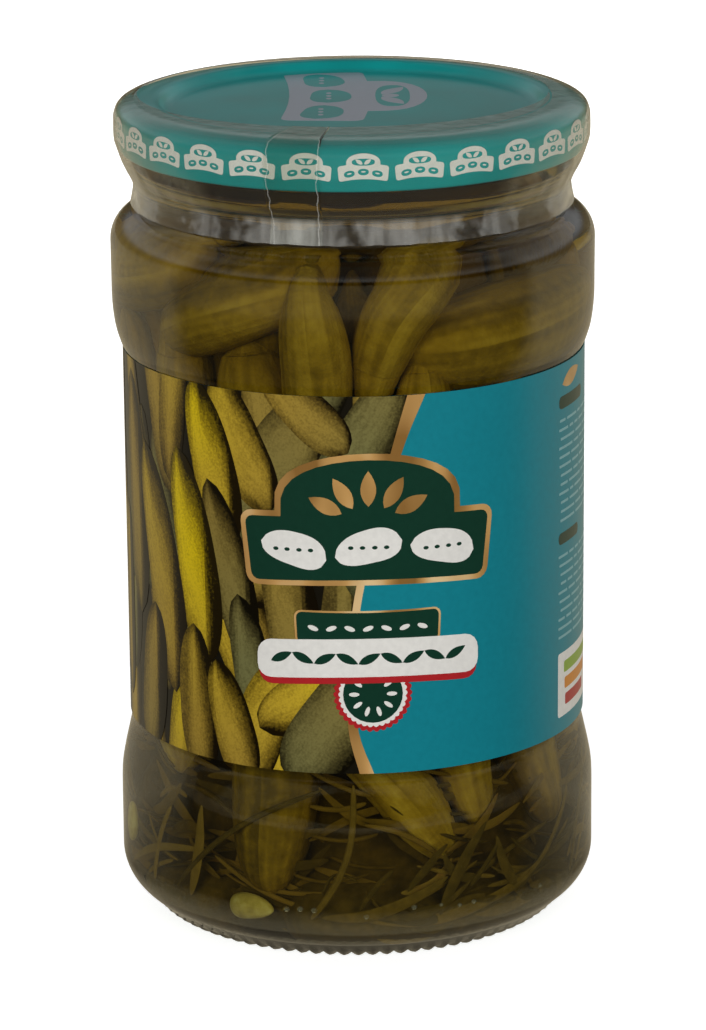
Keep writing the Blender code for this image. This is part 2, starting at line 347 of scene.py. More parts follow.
def leaf(centre: Point, length: float, width: float, tilt: float) -> Outline:
    """A pointed leaf whose tip lies along the tilt, as (across, up)."""
    line = [(part / 8, math.sin(math.pi * part / 8) ** 0.8 * (1.15 - 0.3 * part / 8)) for part in range(9)]
    edge = [(length * (along - 0.5), -width / 2 * side) for along, side in line]
    edge += [(length * (along - 0.5), width / 2 * side) for along, side in reversed(line[1:-1])]
    return tilted(edge, centre, tilt)


def scalloped(centre: Point, radius: float, depth: float, scallops: int) -> Outline:
    """A round seal with a scalloped edge, as (across, up)."""
    points = []
    for corner in range(scallops * 4):
        angle = 2 * math.pi * corner / (scallops * 4)
        reach = radius + depth * abs(math.cos(scallops * angle / 2))
        points.append((centre[0] + reach * math.cos(angle), centre[1] + reach * math.sin(angle)))
    return points


# Shapes from outlines


def on_wall(radius: float, angle: float, height: float) -> Vector:
    """A place at a radius and height, its angle measured from the front in radians."""
    return Vector((radius * math.sin(angle), -radius * math.cos(angle), height))


def cut_through(place: Sequence[float], normal: Sequence[float], **options: bool) -> None:
    """Bisects the whole piece that is in edit mode."""
    bpy.ops.mesh.select_all(action="SELECT")
    bpy.ops.mesh.bisect(plane_co=place, plane_no=normal, **options)


def slice_upright(sheet: bpy.types.Object, step: float) -> None:
    """Cuts a flat sheet upright at every whole step across, in metres."""
    across = [vertex.co.x for vertex in sheet.data.vertices]
    pick(sheet)
    bpy.ops.object.mode_set(mode="EDIT")
    for column in range(math.ceil(min(across) / step), math.floor(max(across) / step) + 1):
        cut_through((column * step, 0, 0), (1, 0, 0))
    bpy.ops.object.mode_set(mode="OBJECT")


def turn(name: str, outline: Sequence[Point], columns: int = COLUMNS) -> bpy.types.Object:
    """Spins an outline of (radius, height) about Z.

    Args:
        name: the piece's name.
        outline: the points in order; the first is repeated at the end where the outline is closed.
        columns: how many columns of faces go round.

    Returns:
        The piece, closed, with its faces pointing out.
    """
    deselect()
    bpy.ops.mesh.primitive_plane_add(size=MM)
    piece = rename(bpy.context.object, name)
    bpy.ops.object.mode_set(mode="EDIT")
    bpy.ops.mesh.merge(type="CENTER")
    bpy.ops.transform.translate(value=(outline[0][0] * MM, 0, outline[0][1] * MM))
    for (radius, height), (next_radius, next_height) in zip(outline, outline[1:]):
        step = ((next_radius - radius) * MM, 0, (next_height - height) * MM)
        bpy.ops.mesh.extrude_region_move(TRANSFORM_OT_translate={"value": step})
    bpy.ops.mesh.select_all(action="SELECT")
    bpy.ops.mesh.spin(steps=columns, angle=2 * math.pi, center=(0, 0, 0), axis=(0, 0, 1))
    bpy.ops.mesh.select_all(action="SELECT")
    bpy.ops.mesh.remove_doubles(threshold=0.001 * MM)
    bpy.ops.mesh.normals_make_consistent(inside=False)
    bpy.ops.object.mode_set(mode="OBJECT")
    smooth(piece)
    return piece


def cut(name: str, outlines: Sequence[Outline]) -> bpy.types.Object:
    """Cuts flat shapes facing -Y, each begun as a disc with one corner for each point.

    Args:
        name: the sheet's name.
        outlines: closed outlines as (across, up), each counterclockwise.

    Returns:
        One flat sheet that holds them all.
    """
    deselect()
    bpy.ops.mesh.primitive_circle_add(vertices=len(outlines[0]), fill_type="NGON")
    sheet = rename(bpy.context.object, name)
    bpy.ops.object.mode_set(mode="EDIT")
    for outline in outlines[1:]:
        bpy.ops.mesh.primitive_circle_add(vertices=len(outline), fill_type="NGON")
    bpy.ops.object.mode_set(mode="OBJECT")
    corners = [corner for outline in outlines for corner in outline]
    for vertex, (across, up) in zip(sheet.data.vertices, corners):
        vertex.co = (across * MM, 0, up * MM)
    return sheet


def wrap(
    sheet: bpy.types.Object, radius: float, scale_radius: float, depth: float, turned: float = 0.0
) -> None:
    """Slices a flat sheet upright at every column, wraps it round Z and gives it a thickness inwards.

    Args:
        sheet: the flat sheet, in the XZ plane.
        radius: radius of its outer face.
        scale_radius: the radius at which a millimetre across is a millimetre round.
        depth: how far its back is sunk.
        turned: degrees that it is turned round the axis.
    """
    slice_upright(sheet, COLUMN_ANGLE * scale_radius * MM)

    def to_wall(point: Vector) -> Vector:
        angle = point.x / (scale_radius * MM) + math.radians(turned)
        return on_wall(radius * MM, angle, point.z)

    reshape(sheet, to_wall)
    thicken(sheet, depth)


def thicken(sheet: bpy.types.Object, depth: float) -> None:
    """Gives an open sheet a thickness behind its face, in millimetres."""
    pick(sheet)
    wall = sheet.modifiers.new("wall", "SOLIDIFY")
    wall.thickness = depth * MM
    wall.offset = -1
    bpy.ops.object.modifier_apply(modifier="wall")
    smooth(sheet, 30)


# Finishes


class Ink(Enum):
    """The flat inks on the wrap and the lid, as sRGB."""

    TEAL = "148391"
    DEEP_TEAL = "0f6a75"
    DARK_GREEN = "12382a"
    GROUND = "15120b"
    WHITE = "eceae4"
    RED = "b3262b"
    PALE_TEAL = "7fb4b9"
    LIME = "8fae3a"
    ORANGE = "d98a2b"


@dataclass(frozen=True)
class SodaLimeGlass:
    """Moulded container glass: clear, faintly green, slightly wavy where the mould chilled it."""

    def build(self) -> bpy.types.Material:
        """Returns the material."""
        settings = {
            "Base Color": linear("f4faf6"),
            "Roughness": 0.02,
            "IOR": 1.52,
            "Transmission Weight": 1.0,
        }
        made, shader = start_material("soda_lime_glass", settings)
        tree = made.node_tree
        place = add_node(tree, "TexCoord")
        # The mould's waves are about 12 mm long.
        waves = add_node(tree, "TexNoise", {"Vector": place.outputs["Object"], "Scale": 85.0, "Detail": 2.0})
        bump = add_node(tree, "Bump", {"Height": waves, "Strength": 0.25, "Distance": 0.22 * MM})
        feed(shader, {"Normal": bump})
        pass_shadow_rays(made, shader, "eef6f0")
        return made


@dataclass(frozen=True)
class PickleBrine:
    """Vinegar brine stained olive-brown: clear close to the wall, dark a few centimetres in."""

    depth_tint: str = "dfcf52"
    density: float = 62.0

    def build(self) -> bpy.types.Material:
        """Returns the material, its stain an absorption per metre."""
        settings = {
            "Base Color": linear("fffdf2"),
            "Roughness": 0.0,
            "IOR": 1.34,
            "Transmission Weight": 1.0,
        }
        made, shader = start_material("pickle_brine", settings)
        tree = made.node_tree
        stained = {"Color": linear(self.depth_tint), "Density": self.density}
        stain = add_node(tree, "VolumeAbsorption", stained)
        feed(tree.nodes["Material Output"], {"Volume": stain})
        pass_shadow_rays(made, shader, "fffdf2")
        return made


@dataclass(frozen=True)
class TrappedAir:
    """Air bubbles in brine: bright rims, seen from the denser side."""

    def build(self) -> bpy.types.Material:
        """Returns the material."""
        settings = {
            "Base Color": linear("ffffff"),
            "Roughness": 0.0,
            "IOR": 0.78,
            "Transmission Weight": 0.96,
        }
        made, shader = start_material("trapped_air", settings)
        pass_shadow_rays(made, shader, "ffffff")
        return made


@dataclass(frozen=True)
class CucumberSkin:
    """Brined cucumber skin: olive, streaked lengthwise, paler at the blossom end, wet but not mirror-like."""

    name: str = "cucumber_skin"
    streaks_round: float = 13.0
    streaks_along: float = 1.6
    stops: tuple[tuple[float, str], ...] = (
        (0.28, "553f0e"),
        (0.43, "7a5c13"),
        (0.54, "92701c"),
        (0.68, "a8852a"),
        (0.84, "be9c40"),
    )
    tip: str = "a8883a"

    def build(self) -> bpy.types.Material:
        """Returns the material, which follows each cucumber's own UV map and tone."""
        made, shader = start_material(self.name, {"Specular IOR Level": 0.06})
        tree = made.node_tree
        tone = add_node(tree, "Attribute", attribute_name="tone")
        around = add_node(tree, "UVMap", uv_map="UVMap")
        split = add_node(tree, "SeparateXYZ", {0: around})
        wide = add_node(tree, "Math", {0: split.outputs[0], 1: self.streaks_round}, operation="MULTIPLY")
        long = add_node(tree, "Math", {0: split.outputs[1], 1: self.streaks_along}, operation="MULTIPLY")
        apart = add_node(tree, "Math", {0: tone.outputs["Fac"], 1: 19.0}, operation="MULTIPLY")
        spot = add_node(tree, "CombineXYZ", {0: wide, 1: long, 2: apart})
        streaks = add_node(tree, "TexNoise", {"Vector": spot, "Scale": 1.0, "Detail": 2.0, "Roughness": 0.5})
        place = add_node(tree, "TexCoord")
        # Mottling about 2 mm across, and pores too fine to show drawn at half a millimetre.
        inputs = {"Vector": place.outputs["Object"], "Scale": 480.0, "Detail": 3.0}
        mottle = add_node(tree, "TexNoise", inputs)
        pores = add_node(tree, "TexVoronoi", {"Vector": place.outputs["Object"], "Scale": 1700.0})
        blend = add_node(tree, "Math", {0: mottle, 1: 0.45, 2: streaks}, operation="MULTIPLY_ADD")
        shift = add_node(tree, "Math", {0: tone.outputs["Fac"], 1: 0.34, 2: -0.17}, operation="MULTIPLY_ADD")
        halved = add_node(tree, "Math", {0: blend, 1: 0.7, 2: shift}, operation="MULTIPLY_ADD")
        skin = add_node(tree, "ValToRGB", {0: halved}, stops=self.stops)
        ends = add_node(tree, "Math", {0: split.outputs[1], 1: 0.5}, operation="SUBTRACT")
        ends = add_node(tree, "Math", {0: ends}, operation="ABSOLUTE")
        ends = add_node(tree, "MapRange", {0: ends, 1: 0.36, 2: 0.5, 3: 0.0, 4: 0.55})
        tipped = add_node(tree, "Mix", {0: ends, 6: skin, 7: linear(self.tip)}, data_type="RGBA")
        feed(shader, {"Base Color": tipped.outputs[2]})
        wet = add_node(tree, "MapRange", {0: mottle, 3: 0.28, 4: 0.5})
        feed(shader, {"Roughness": wet})
        relief = add_node(tree, "Math", {0: streaks, 1: pores}, operation="ADD")
        bump = add_node(tree, "Bump", {"Height": relief, "Strength": 0.35, "Distance": 0.25 * MM})
        feed(shader, {"Normal": bump})
        return made


@dataclass(frozen=True)
class SoakedHerb:
    """Stems and narrow leaves gone brown-olive in vinegar, a few of them rusty red."""

    stops: tuple[tuple[float, str], ...] = (
        (0.2, "44330e"),
        (0.5, "654c18"),
        (0.72, "765a22"),
        (1.0, "6a4020"),
    )

    def build(self) -> bpy.types.Material:
        """Returns the material, its hue following each sprig's tone."""
        made, shader = start_material("soaked_herb", {"Roughness": 0.5, "Specular IOR Level": 0.06})
        tree = made.node_tree
        tone = add_node(tree, "Attribute", attribute_name="tone")
        place = add_node(tree, "TexCoord")
        fibre = add_node(tree, "TexNoise", {"Vector": place.outputs["Object"], "Scale": 520.0, "Detail": 4.0})
        mixed = add_node(tree, "Math", {0: fibre, 1: 0.5, 2: tone.outputs["Fac"]}, operation="MULTIPLY_ADD")
        centred = add_node(tree, "Math", {0: mixed, 1: 0.25}, operation="SUBTRACT")
        colour = add_node(tree, "ValToRGB", {0: centred}, stops=self.stops)
        feed(shader, {"Base Color": colour})
        bump = add_node(tree, "Bump", {"Height": fibre, "Strength": 0.5, "Distance": 0.2 * MM})
        feed(shader, {"Normal": bump})
        return made


@dataclass(frozen=True)
class GarlicFlesh:
    """Brined garlic: pale yellow-green, waxy, faintly veined."""

    def build(self) -> bpy.types.Material:
        """Returns the material."""
        made, shader = start_material("garlic_flesh", {"Roughness": 0.38, "Specular IOR Level": 0.1})
        tree = made.node_tree
        place = add_node(tree, "TexCoord")
        veins = add_node(tree, "TexNoise", {"Vector": place.outputs["Object"], "Scale": 330.0, "Detail": 3.0})
        stops = [(0.3, "8a7434"), (0.5, "a8924c"), (0.7, "c2b072")]
        colour = add_node(tree, "ValToRGB", {0: veins}, stops=stops)
        feed(shader, {"Base Color": colour})
        bump = add_node(tree, "Bump", {"Height": veins, "Strength": 0.3, "Distance": 0.3 * MM})
        feed(shader, {"Normal": bump})
        return made


@dataclass(frozen=True)
class LacqueredTinplate:
    """Stoved teal lacquer on rolled tinplate: glossy, with the faint orange peel of a rolled coat."""

    colour: str = "0ca19f"
    shade: str = "0c9391"

    def build(self) -> bpy.types.Material:
        """Returns the material."""
        made, shader = start_material("lacquered_tinplate", {"Coat Weight": 0.35, "Coat Roughness": 0.2})
        tree = made.node_tree
        place = add_node(tree, "TexCoord")
        drift = add_node(tree, "TexNoise", {"Vector": place.outputs["Object"], "Scale": 60.0, "Detail": 3.0})
        peel = add_node(tree, "TexNoise", {"Vector": place.outputs["Object"], "Scale": 1500.0, "Detail": 1.0})
        colour = add_node(tree, "ValToRGB", {0: drift}, stops=[(0.35, self.shade), (0.65, self.colour)])
        feed(shader, {"Base Color": colour})
        gloss = add_node(tree, "MapRange", {0: drift, 3: 0.24, 4: 0.36})
        feed(shader, {"Roughness": gloss})
        bump = add_node(tree, "Bump", {"Height": peel, "Strength": 0.12, "Distance": 0.05 * MM})
        feed(shader, {"Normal": bump})
        return made


@dataclass(frozen=True)
class PrintedInk:
    """One ink on coated stock: even, with the slight mottle of offset print."""

    name: str
    colour: str
    roughness: float = 0.33

    def build(self) -> bpy.types.Material:
        """Returns the material."""
        settings = {"Coat Weight": 0.1, "Coat Roughness": 0.25, "Specular IOR Level": 0.4}
        made, shader = start_material(self.name, settings)
        tree = made.node_tree
        place = add_node(tree, "TexCoord")
        inputs = {"Vector": place.outputs["Object"], "Scale": 900.0, "Detail": 3.0}
        mottle = add_node(tree, "TexNoise", inputs)
        density = add_node(tree, "MapRange", {0: mottle, 3: 0.88, 4: 1.1})
        inked = add_node(tree, "HueSaturation", {"Value": density, "Color": linear(self.colour)})
        feed(shader, {"Base Color": inked})
        sheen = add_node(tree, "MapRange", {0: mottle, 3: self.roughness - 0.05, 4: self.roughness + 0.06})
        feed(shader, {"Roughness": sheen})
        return made


@dataclass(frozen=True)
class GoldInk:
    """Tan-gold process print, lighter and darker across itself like a drawn metal edge."""

    def build(self) -> bpy.types.Material:
        """Returns the material."""
        made, shader = start_material("gold_ink", {"Roughness": 0.32, "Coat Weight": 0.3})
        tree = made.node_tree
        place = add_node(tree, "TexCoord")
        inputs = {"Vector": place.outputs["Object"], "Scale": (130.0, 130.0, 45.0)}
        stretched = add_node(tree, "Mapping", inputs)
        sweep = add_node(tree, "TexNoise", {"Vector": stretched, "Scale": 1.0, "Detail": 1.0})
        stops = [(0.3, "8d6633"), (0.5, "c79a5c"), (0.68, "e8c894")]
        colour = add_node(tree, "ValToRGB", {0: sweep}, stops=stops)
        feed(shader, {"Base Color": colour})
        return made


@dataclass(frozen=True)
class PrintedCucumber:
    """The wrap's printed cucumbers: each lit along its middle, dark at its edges, grained lengthwise."""

    def build(self) -> bpy.types.Material:
        """Returns the material, which reads each shape's own UV map and tone."""
        settings = {"Roughness": 0.36, "Coat Weight": 0.1, "Coat Roughness": 0.25, "Specular IOR Level": 0.4}
        made, shader = start_material("printed_cucumber", settings)
        tree = made.node_tree
        tone = add_node(tree, "Attribute", attribute_name="tone")
        flat = add_node(tree, "UVMap", uv_map="print")
        split = add_node(tree, "SeparateXYZ", {0: flat})
        side = add_node(tree, "Math", {0: split.outputs[0], 1: 0.2}, operation="ADD")
        side = add_node(tree, "Math", {0: side, 1: 2.0}, operation="POWER")
        end = add_node(tree, "Math", {0: split.outputs[1], 1: 6.0}, operation="POWER")
        edge = add_node(tree, "Math", {0: side, 1: end}, operation="ADD")
        wide = add_node(tree, "Math", {0: split.outputs[0], 1: 5.0}, operation="MULTIPLY")
        long = add_node(tree, "Math", {0: split.outputs[1], 1: 2.0}, operation="MULTIPLY")
        apart = add_node(tree, "Math", {0: tone.outputs["Fac"], 1: 23.0}, operation="MULTIPLY")
        spot = add_node(tree, "CombineXYZ", {0: wide, 1: long, 2: apart})
        grain = add_node(tree, "TexNoise", {"Vector": spot, "Scale": 1.0, "Detail": 5.0, "Roughness": 0.7})
        place = add_node(tree, "TexCoord")
        # The print's speckle, about half a millimetre across.
        inputs = {"Vector": place.outputs["Object"], "Scale": 2400.0, "Detail": 2.0}
        speckle = add_node(tree, "TexNoise", inputs)
        rough = add_node(tree, "Math", {0: grain, 1: speckle}, operation="ADD")
        rough = add_node(tree, "Math", {0: rough, 1: 0.6, 2: -0.57}, operation="MULTIPLY_ADD")
        depth = add_node(tree, "Math", {0: edge, 1: 0.66, 2: rough}, operation="MULTIPLY_ADD")
        light = [(0.0, "ffffff"), (0.22, "d8d6d2"), (0.5, "908c86"), (0.85, "24201c")]
        shade = add_node(tree, "ValToRGB", {0: depth}, stops=light)
        hues = [(0.0, "dcc012"), (0.12, "c2a42c"), (0.4, "a58833"), (0.7, "877538"), (1.0, "727044")]
        inputs = {0: split.outputs[1], 1: -0.14, 2: tone.outputs["Fac"]}
        ripe = add_node(tree, "Math", inputs, operation="MULTIPLY_ADD")
        hue = add_node(tree, "ValToRGB", {0: ripe}, stops=hues)
        mixed = add_node(tree, "Mix", {0: 1.0, 6: hue, 7: shade}, data_type="RGBA", blend_type="MULTIPLY")
        feed(shader, {"Base Color": mixed.outputs[2]})
        return made


@dataclass(frozen=True)
class ShrinkFilm:
    """Heat-shrunk clear film: thin and glossy, with fine drawn lines, a faint haze, painted reflections as
    whitish spots low on the neck, and, on the overlap, painted highlights along its cut edges.
    """

    name: str = "shrink_film"
    index: float = 1.26
    haze: float = 0.01
    blush: float = 0.13
    blush_top: float = 139.4
    edges: float = 0.0
    gaps: tuple[Point, ...] = ((-164, -150), (-62, -44), (-36, -29), (-4, 2), (29, 35), (46, 60), (131, 146))

    def build(self) -> bpy.types.Material:
        """Returns the material."""
        settings = {
            "Base Color": linear("fbfaf5"),
            "Roughness": 0.06,
            "IOR": self.index,
            "Transmission Weight": 1.0 - self.haze,
        }
        made, shader = start_material(self.name, settings)
        tree = made.node_tree
        place = add_node(tree, "TexCoord")
        drawn = add_node(tree, "Mapping", {"Vector": place.outputs["Object"], "Scale": (420.0, 420.0, 60.0)})
        lines = add_node(tree, "TexNoise", {"Vector": drawn, "Scale": 1.0, "Detail": 3.0})
        bump = add_node(tree, "Bump", {"Height": lines, "Strength": 0.22, "Distance": 0.15 * MM})
        feed(shader, {"Normal": bump})
        # The painted reflection sits low on the neck, as whitish spots with clear gaps at these degrees,
        # where the film would mirror the bright floor.
        split = add_node(tree, "SeparateXYZ", {0: place.outputs["Object"]})
        high, full = self.blush_top * MM, (self.blush_top - 1.2) * MM
        inputs = {0: split.outputs[2], 1: high, 2: full, 3: 0.0, 4: self.blush}
        low = add_node(tree, "MapRange", inputs)
        back = add_node(tree, "Math", {0: split.outputs[1], 1: -1.0}, operation="MULTIPLY")
        turned = add_node(tree, "Math", {0: split.outputs[0], 1: back}, operation="ARCTAN2")
        waver = add_node(tree, "TexNoise", {"Vector": place.outputs["Object"], "Scale": 260.0, "Detail": 2.0})
        ragged = add_node(tree, "Math", {0: waver, 1: 0.34, 2: turned}, operation="MULTIPLY_ADD")
        share = add_node(tree, "MapRange", {0: ragged, 1: 0.17 - math.pi, 2: 0.17 + math.pi})
        # The spots' grey levels are painted reflection: light where the floor would show in the film, dark in
        # the gaps, streaked upright.
        stops = []
        for first, last in self.gaps:
            ends = ((first - 2, "d0d0d0"), (first + 2, "1c1c1c"), (last - 2, "1c1c1c"), (last + 2, "d0d0d0"))
            stops += [((degrees + 180) / 360, grey) for degrees, grey in ends]
        patches = add_node(tree, "ValToRGB", {0: share}, stops=stops)
        streaks = add_node(tree, "MapRange", {0: lines, 1: 0.35, 2: 0.7, 3: 0.6, 4: 1.7})
        patches = add_node(tree, "Math", {0: patches, 1: streaks}, operation="MULTIPLY")
        milky = add_node(tree, "Math", {0: low, 1: patches}, operation="MULTIPLY")
        if self.edges:
            # Painted highlights: the overlap's cut edges are drawn as thin wavering whitish lines, just
            # inside its two sides, as if they caught the light.
            edge = add_node(tree, "Math", {0: waver, 1: 0.04, 2: turned}, operation="MULTIPLY_ADD")
            edge = add_node(tree, "Math", {0: edge, 1: 0.2287}, operation="ADD")
            edge = add_node(tree, "Math", {0: edge}, operation="ABSOLUTE")
            edge = add_node(tree, "Math", {0: edge, 1: 0.103, 2: 0.0022}, operation="COMPARE")
            milky = add_node(tree, "Math", {0: edge, 1: self.edges, 2: milky}, operation="MULTIPLY_ADD")
        clear = add_node(tree, "Math", {0: milky, 1: -1.0, 2: 1.0 - self.haze}, operation="MULTIPLY_ADD")
        feed(shader, {"Transmission Weight": clear})
        pass_shadow_rays(made, shader, "f0f3f2")
        return made


@dataclass(frozen=True)
class StudioPaper:
    """The seamless white sheet. In reflections and through the glass it shows painted light instead: a
    painted dark reflection in front so that the glass stays clear, painted brightness beside and behind, and
    a painted glow round the jar's foot.
    """

    glow: float = 0.72
    cloth_reach: float = 0.50

    def build(self) -> bpy.types.Material:
        """Returns the material: white as seen, and, where the glass reflects it or is seen through, a glow
        painted on by place: dark near the jar in front, lighter beside and behind, and a ring under the foot.
        """
        settings = {"Roughness": 0.7, "Emission Color": linear("ffffff"), "Emission Strength": self.glow}
        made, shader = start_material("studio_paper", settings)
        tree = made.node_tree
        place = add_node(tree, "TexCoord")
        tooth = add_node(tree, "TexNoise", {"Vector": place.outputs["Object"], "Scale": 300.0, "Detail": 3.0})
        colour = add_node(tree, "ValToRGB", {0: tooth}, stops=[(0.3, "f4f4f3"), (0.7, "f7f7f6")])
        feed(shader, {"Base Color": colour})
        far = add_node(tree, "VectorMath", {0: place.outputs["Object"]}, operation="LENGTH")
        inputs = {0: far.outputs["Value"], 1: self.cloth_reach, 2: self.cloth_reach + 0.06, 3: 0.02, 4: 0.18}
        ahead = add_node(tree, "MapRange", inputs)
        split = add_node(tree, "SeparateXYZ", {0: place.outputs["Object"]})
        beside = add_node(tree, "MapRange", {0: split.outputs[1], 1: -0.04, 2: 0.04, 3: 0.0, 4: 0.42})
        # Painted glow in a ring under the jar's foot, seen through its glass.
        under = add_node(tree, "MapRange", {0: far.outputs["Value"], 1: 0.05, 2: 0.062, 3: 0.34, 4: 0.0})
        inner = add_node(tree, "MapRange", {0: far.outputs["Value"], 1: 0.034, 2: 0.037, 3: 0.06, 4: 1.0})
        under = add_node(tree, "Math", {0: under, 1: inner}, operation="MULTIPLY")
        bare = add_node(tree, "Math", {0: ahead, 1: beside}, operation="MAXIMUM")
        bare = add_node(tree, "Math", {0: bare, 1: under}, operation="MAXIMUM")
        path = add_node(tree, "LightPath")
        inputs = {0: path.outputs["Is Transmission Ray"], 1: 0.05, 2: bare}
        level = add_node(tree, "Math", inputs, operation="MULTIPLY_ADD")
        # This emission is painted light: reflections and the glass see the floor glow by place, not as lit.
        cloth = add_node(tree, "Emission", {"Color": linear("fff0cc"), "Strength": level})
        mixed = add_node(tree, "MixShader", {0: path.outputs["Is Camera Ray"], 1: cloth, 2: shader})
        feed(tree.nodes["Material Output"], {"Surface": mixed})
        made.cycles.emission_sampling = "NONE"
        return made


# The jar


@dataclass
class GlassJar:
    """The moulded jar, its wall, and the places inside it."""

    body: float = 44.6
    panel: float = 42.3
    neck: float = 39.7
    wall: float = 2.5
    floor: float = 4.3
    floor_corner: float = 6.6
    mouth: float = 150.5
    shoulder: Point = (38.8, 127.6)
    shoulder_radius: float = 5.8
    ribs: int = 88
    rib_depth: float = 0.55

    def inside(self) -> Outline:
        """Returns the inner wall, from the floor's corner up to the mouth."""
        corner = (self.body - self.wall - self.floor_corner, self.floor + self.floor_corner)
        wall = arc(corner, self.floor_corner, -90, 0, 10)
        wall += smooth_through([(42.1, 20), (42.0, 25), (40.6, 32.6), (self.panel - self.wall, 37)])
        wall += smooth_through([(self.panel - self.wall, 106.5), (41.5, 111.6), (42.08, 117)])
        wall += arc(self.shoulder, self.shoulder_radius - self.wall, 0, 72, 8)
        wall += smooth_through([(self.neck - self.wall, 133.4), (36.9, 137), (36.6, self.mouth - 1)])
        return wall

    def radius_at(self, height: float) -> float:
        """Returns the inside radius at a height."""
        outline = self.wall_line
        for (low_radius, low), (high_radius, high) in zip(outline, outline[1:]):
            if low <= height <= high and high > low:
                return low_radius + (high_radius - low_radius) * (height - low) / (high - low)
        return outline[0][0] if height < outline[0][1] else outline[-1][0]

    def __post_init__(self) -> None:
        """Keeps the inner wall, which every laid piece asks for."""
        self.wall_line = self.inside()

    def build(self, glass: bpy.types.Material) -> bpy.types.Object:
        """Builds the glass.

        Args:
            glass: its finish.

        Returns:
            The dressed piece.
        """
        outline: Outline = [(0.0, 2.6), (14.0, 2.5), (28.0, 2.0), (32.0, 1.4), (34.0, 0.5), (34.8, 0.0)]
        outline += [(36.6, 0.0), (37.3, 0.35), (38.2, 0.95), (39.2, 1.6)]
        outline += arc((36.4, 10.2), 8.2, -60, 0, 12)
        low = [(44.58, 18), (44.5, 25), (43.9, 29), (43.1, 32.6), (42.4, 36), (42.35, 39)]
        high = [(42.35, 105), (42.45, 107.2), (43.15, 108.9), (44.0, 111.8), (44.5, 116), (44.57, 121)]
        outline += smooth_through(low) + smooth_through(high)
        outline += arc(self.shoulder, self.shoulder_radius, 0, 72, 12)
        outline += smooth_through([(39.75, 133.9), (39.7, 135), (39.7, 138.2), (40.3, 139.6), (40.75, 141)])
        outline += smooth_through([(40.6, 142.0), (39.6, 142.9), (39.0, 143.6), (38.9, 145)])
        outline += smooth_through([(38.9, self.mouth - 1), (38.2, self.mouth), (37.2, self.mouth)])
        outline += reversed(self.wall_line)
        outline += [(20.0, self.floor + 0.2), (0.0, self.floor + 0.5)]
        jar = turn("jar_glass", outline, self.ribs * 4)
        self.rib_the_foot(jar)
        return dress(jar, glass, ["glass_jar"])

    def rib_the_foot(self, jar: bpy.types.Object) -> None:
        """Makes small ribs: every fourth column of the foot's edge goes out, and those between go up."""
        columns = self.ribs * 4
        for phase, stretch, lift in ((0, 1 + self.rib_depth / 37, 0.0), (2, 0.997, 0.4)):
            pick(jar)
            bpy.ops.object.mode_set(mode="EDIT")
            bpy.ops.mesh.select_mode(type="VERT")
            bpy.ops.mesh.select_all(action="DESELECT")
            bpy.ops.object.mode_set(mode="OBJECT")
            for vertex in jar.data.vertices:
                column = round(math.atan2(vertex.co.y, vertex.co.x) / (2 * math.pi / columns))
                reach = math.hypot(vertex.co.x, vertex.co.y) / MM
                vertex.select = column % 4 == phase and 36.4 < reach < 38.6 and vertex.co.z < 1.2 * MM
            bpy.ops.object.mode_set(mode="EDIT")
            bpy.ops.transform.resize(value=(stretch, stretch, 1), center_override=(0, 0, 0))
            bpy.ops.transform.translate(value=(0, 0, lift * MM))
            bpy.ops.object.mode_set(mode="OBJECT")


@dataclass
class Route:
    """A way along the inside of the wall, between two ends, bowed sideways."""

    jar: GlassJar
    ends: tuple[Point, Point]
    half: float
    insets: Point = (0.0, 0.0)
    bow: float = 0.0
    clearance: float = 0.5

    def centre(self, along: float) -> Vector:
        """Returns the point a share of the way along, in metres."""
        (first_turn, first_height), (last_turn, last_height) = self.ends
        sweep = last_turn - first_turn
        across = math.radians(sweep) * self.jar.body
        length = math.hypot(across, last_height - first_height)
        side = self.bow * math.sin(math.pi * along)
        turned = first_turn + sweep * along
        turned += math.degrees(-side * (last_height - first_height) / length / self.jar.body)
        height = first_height + (last_height - first_height) * along + side * across / length
        reaches = (-0.8 * self.half, 0.0, 0.8 * self.half)
        tightest = min(self.jar.radius_at(height + reach) for reach in reaches)
        radius = tightest - self.clearance - self.half
        radius -= self.insets[0] + (self.insets[1] - self.insets[0]) * along
        return on_wall(radius, math.radians(turned), height) * MM

    def frame(self, along: float) -> tuple[Vector, Vector, Vector]:
        """Returns the centre, the sideways direction and the outward direction there."""
        here = self.centre(along)
        forward = (self.centre(min(along + 0.01, 1)) - self.centre(max(along - 0.01, 0))).normalized()
        outward = Vector((here.x, here.y, 0.0))
        outward = (outward - outward.dot(forward) * forward).normalized()
        return here, forward.cross(outward), outward


def grow(
    route: Route,
    width: float,
    depth: float,
    tone: float,
    grid: tuple[int, int],
    power: float,
    relief: Callable[[float, float], float],
) -> bpy.types.Object:
    """Draws a sphere out along a route into a cucumber, stem, leaf or clove.

    Args:
        route: the way that it lies.
        width: half its size across the wall.
        depth: half its size into the jar.
        tone: a number that its finish reads.
        grid: columns and rings of faces.
        power: how blunt its ends are; 2 is an ellipse.
        relief: swelling at a share along and an angle round.

    Returns:
        The shaped part, not yet dressed.
    """
    deselect()
    bpy.ops.mesh.primitive_uv_sphere_add(segments=grid[0], ring_count=grid[1], rotation=(0, math.pi / 2, 0))
    part = bpy.context.object
    bpy.ops.object.transform_apply(rotation=True)
    frames: dict[float, tuple[Vector, Vector, Vector]] = {}

    def to_route(point: Vector) -> Vector:
        place = round(max(-1.0, min(1.0, point.x)), 5)
        if place not in frames:
            frames[place] = route.frame((place + 1) / 2)
        here, sideways, outward = frames[place]
        reach = math.hypot(point.y, point.z)
        if reach < 1e-6:
            return here.copy()
        swell = math.sqrt(max(0.0, 1 - abs(place) ** power)) * (1.04 - 0.14 * (place + 1) / 2)
        swell *= MM * relief((place + 1) / 2, math.atan2(point.z, point.y)) / reach
        return here + sideways * (point.y * width * swell) + outward * (point.z * depth * swell)

    reshape(part, to_route)
    mark(part, "tone", tone)
    return part


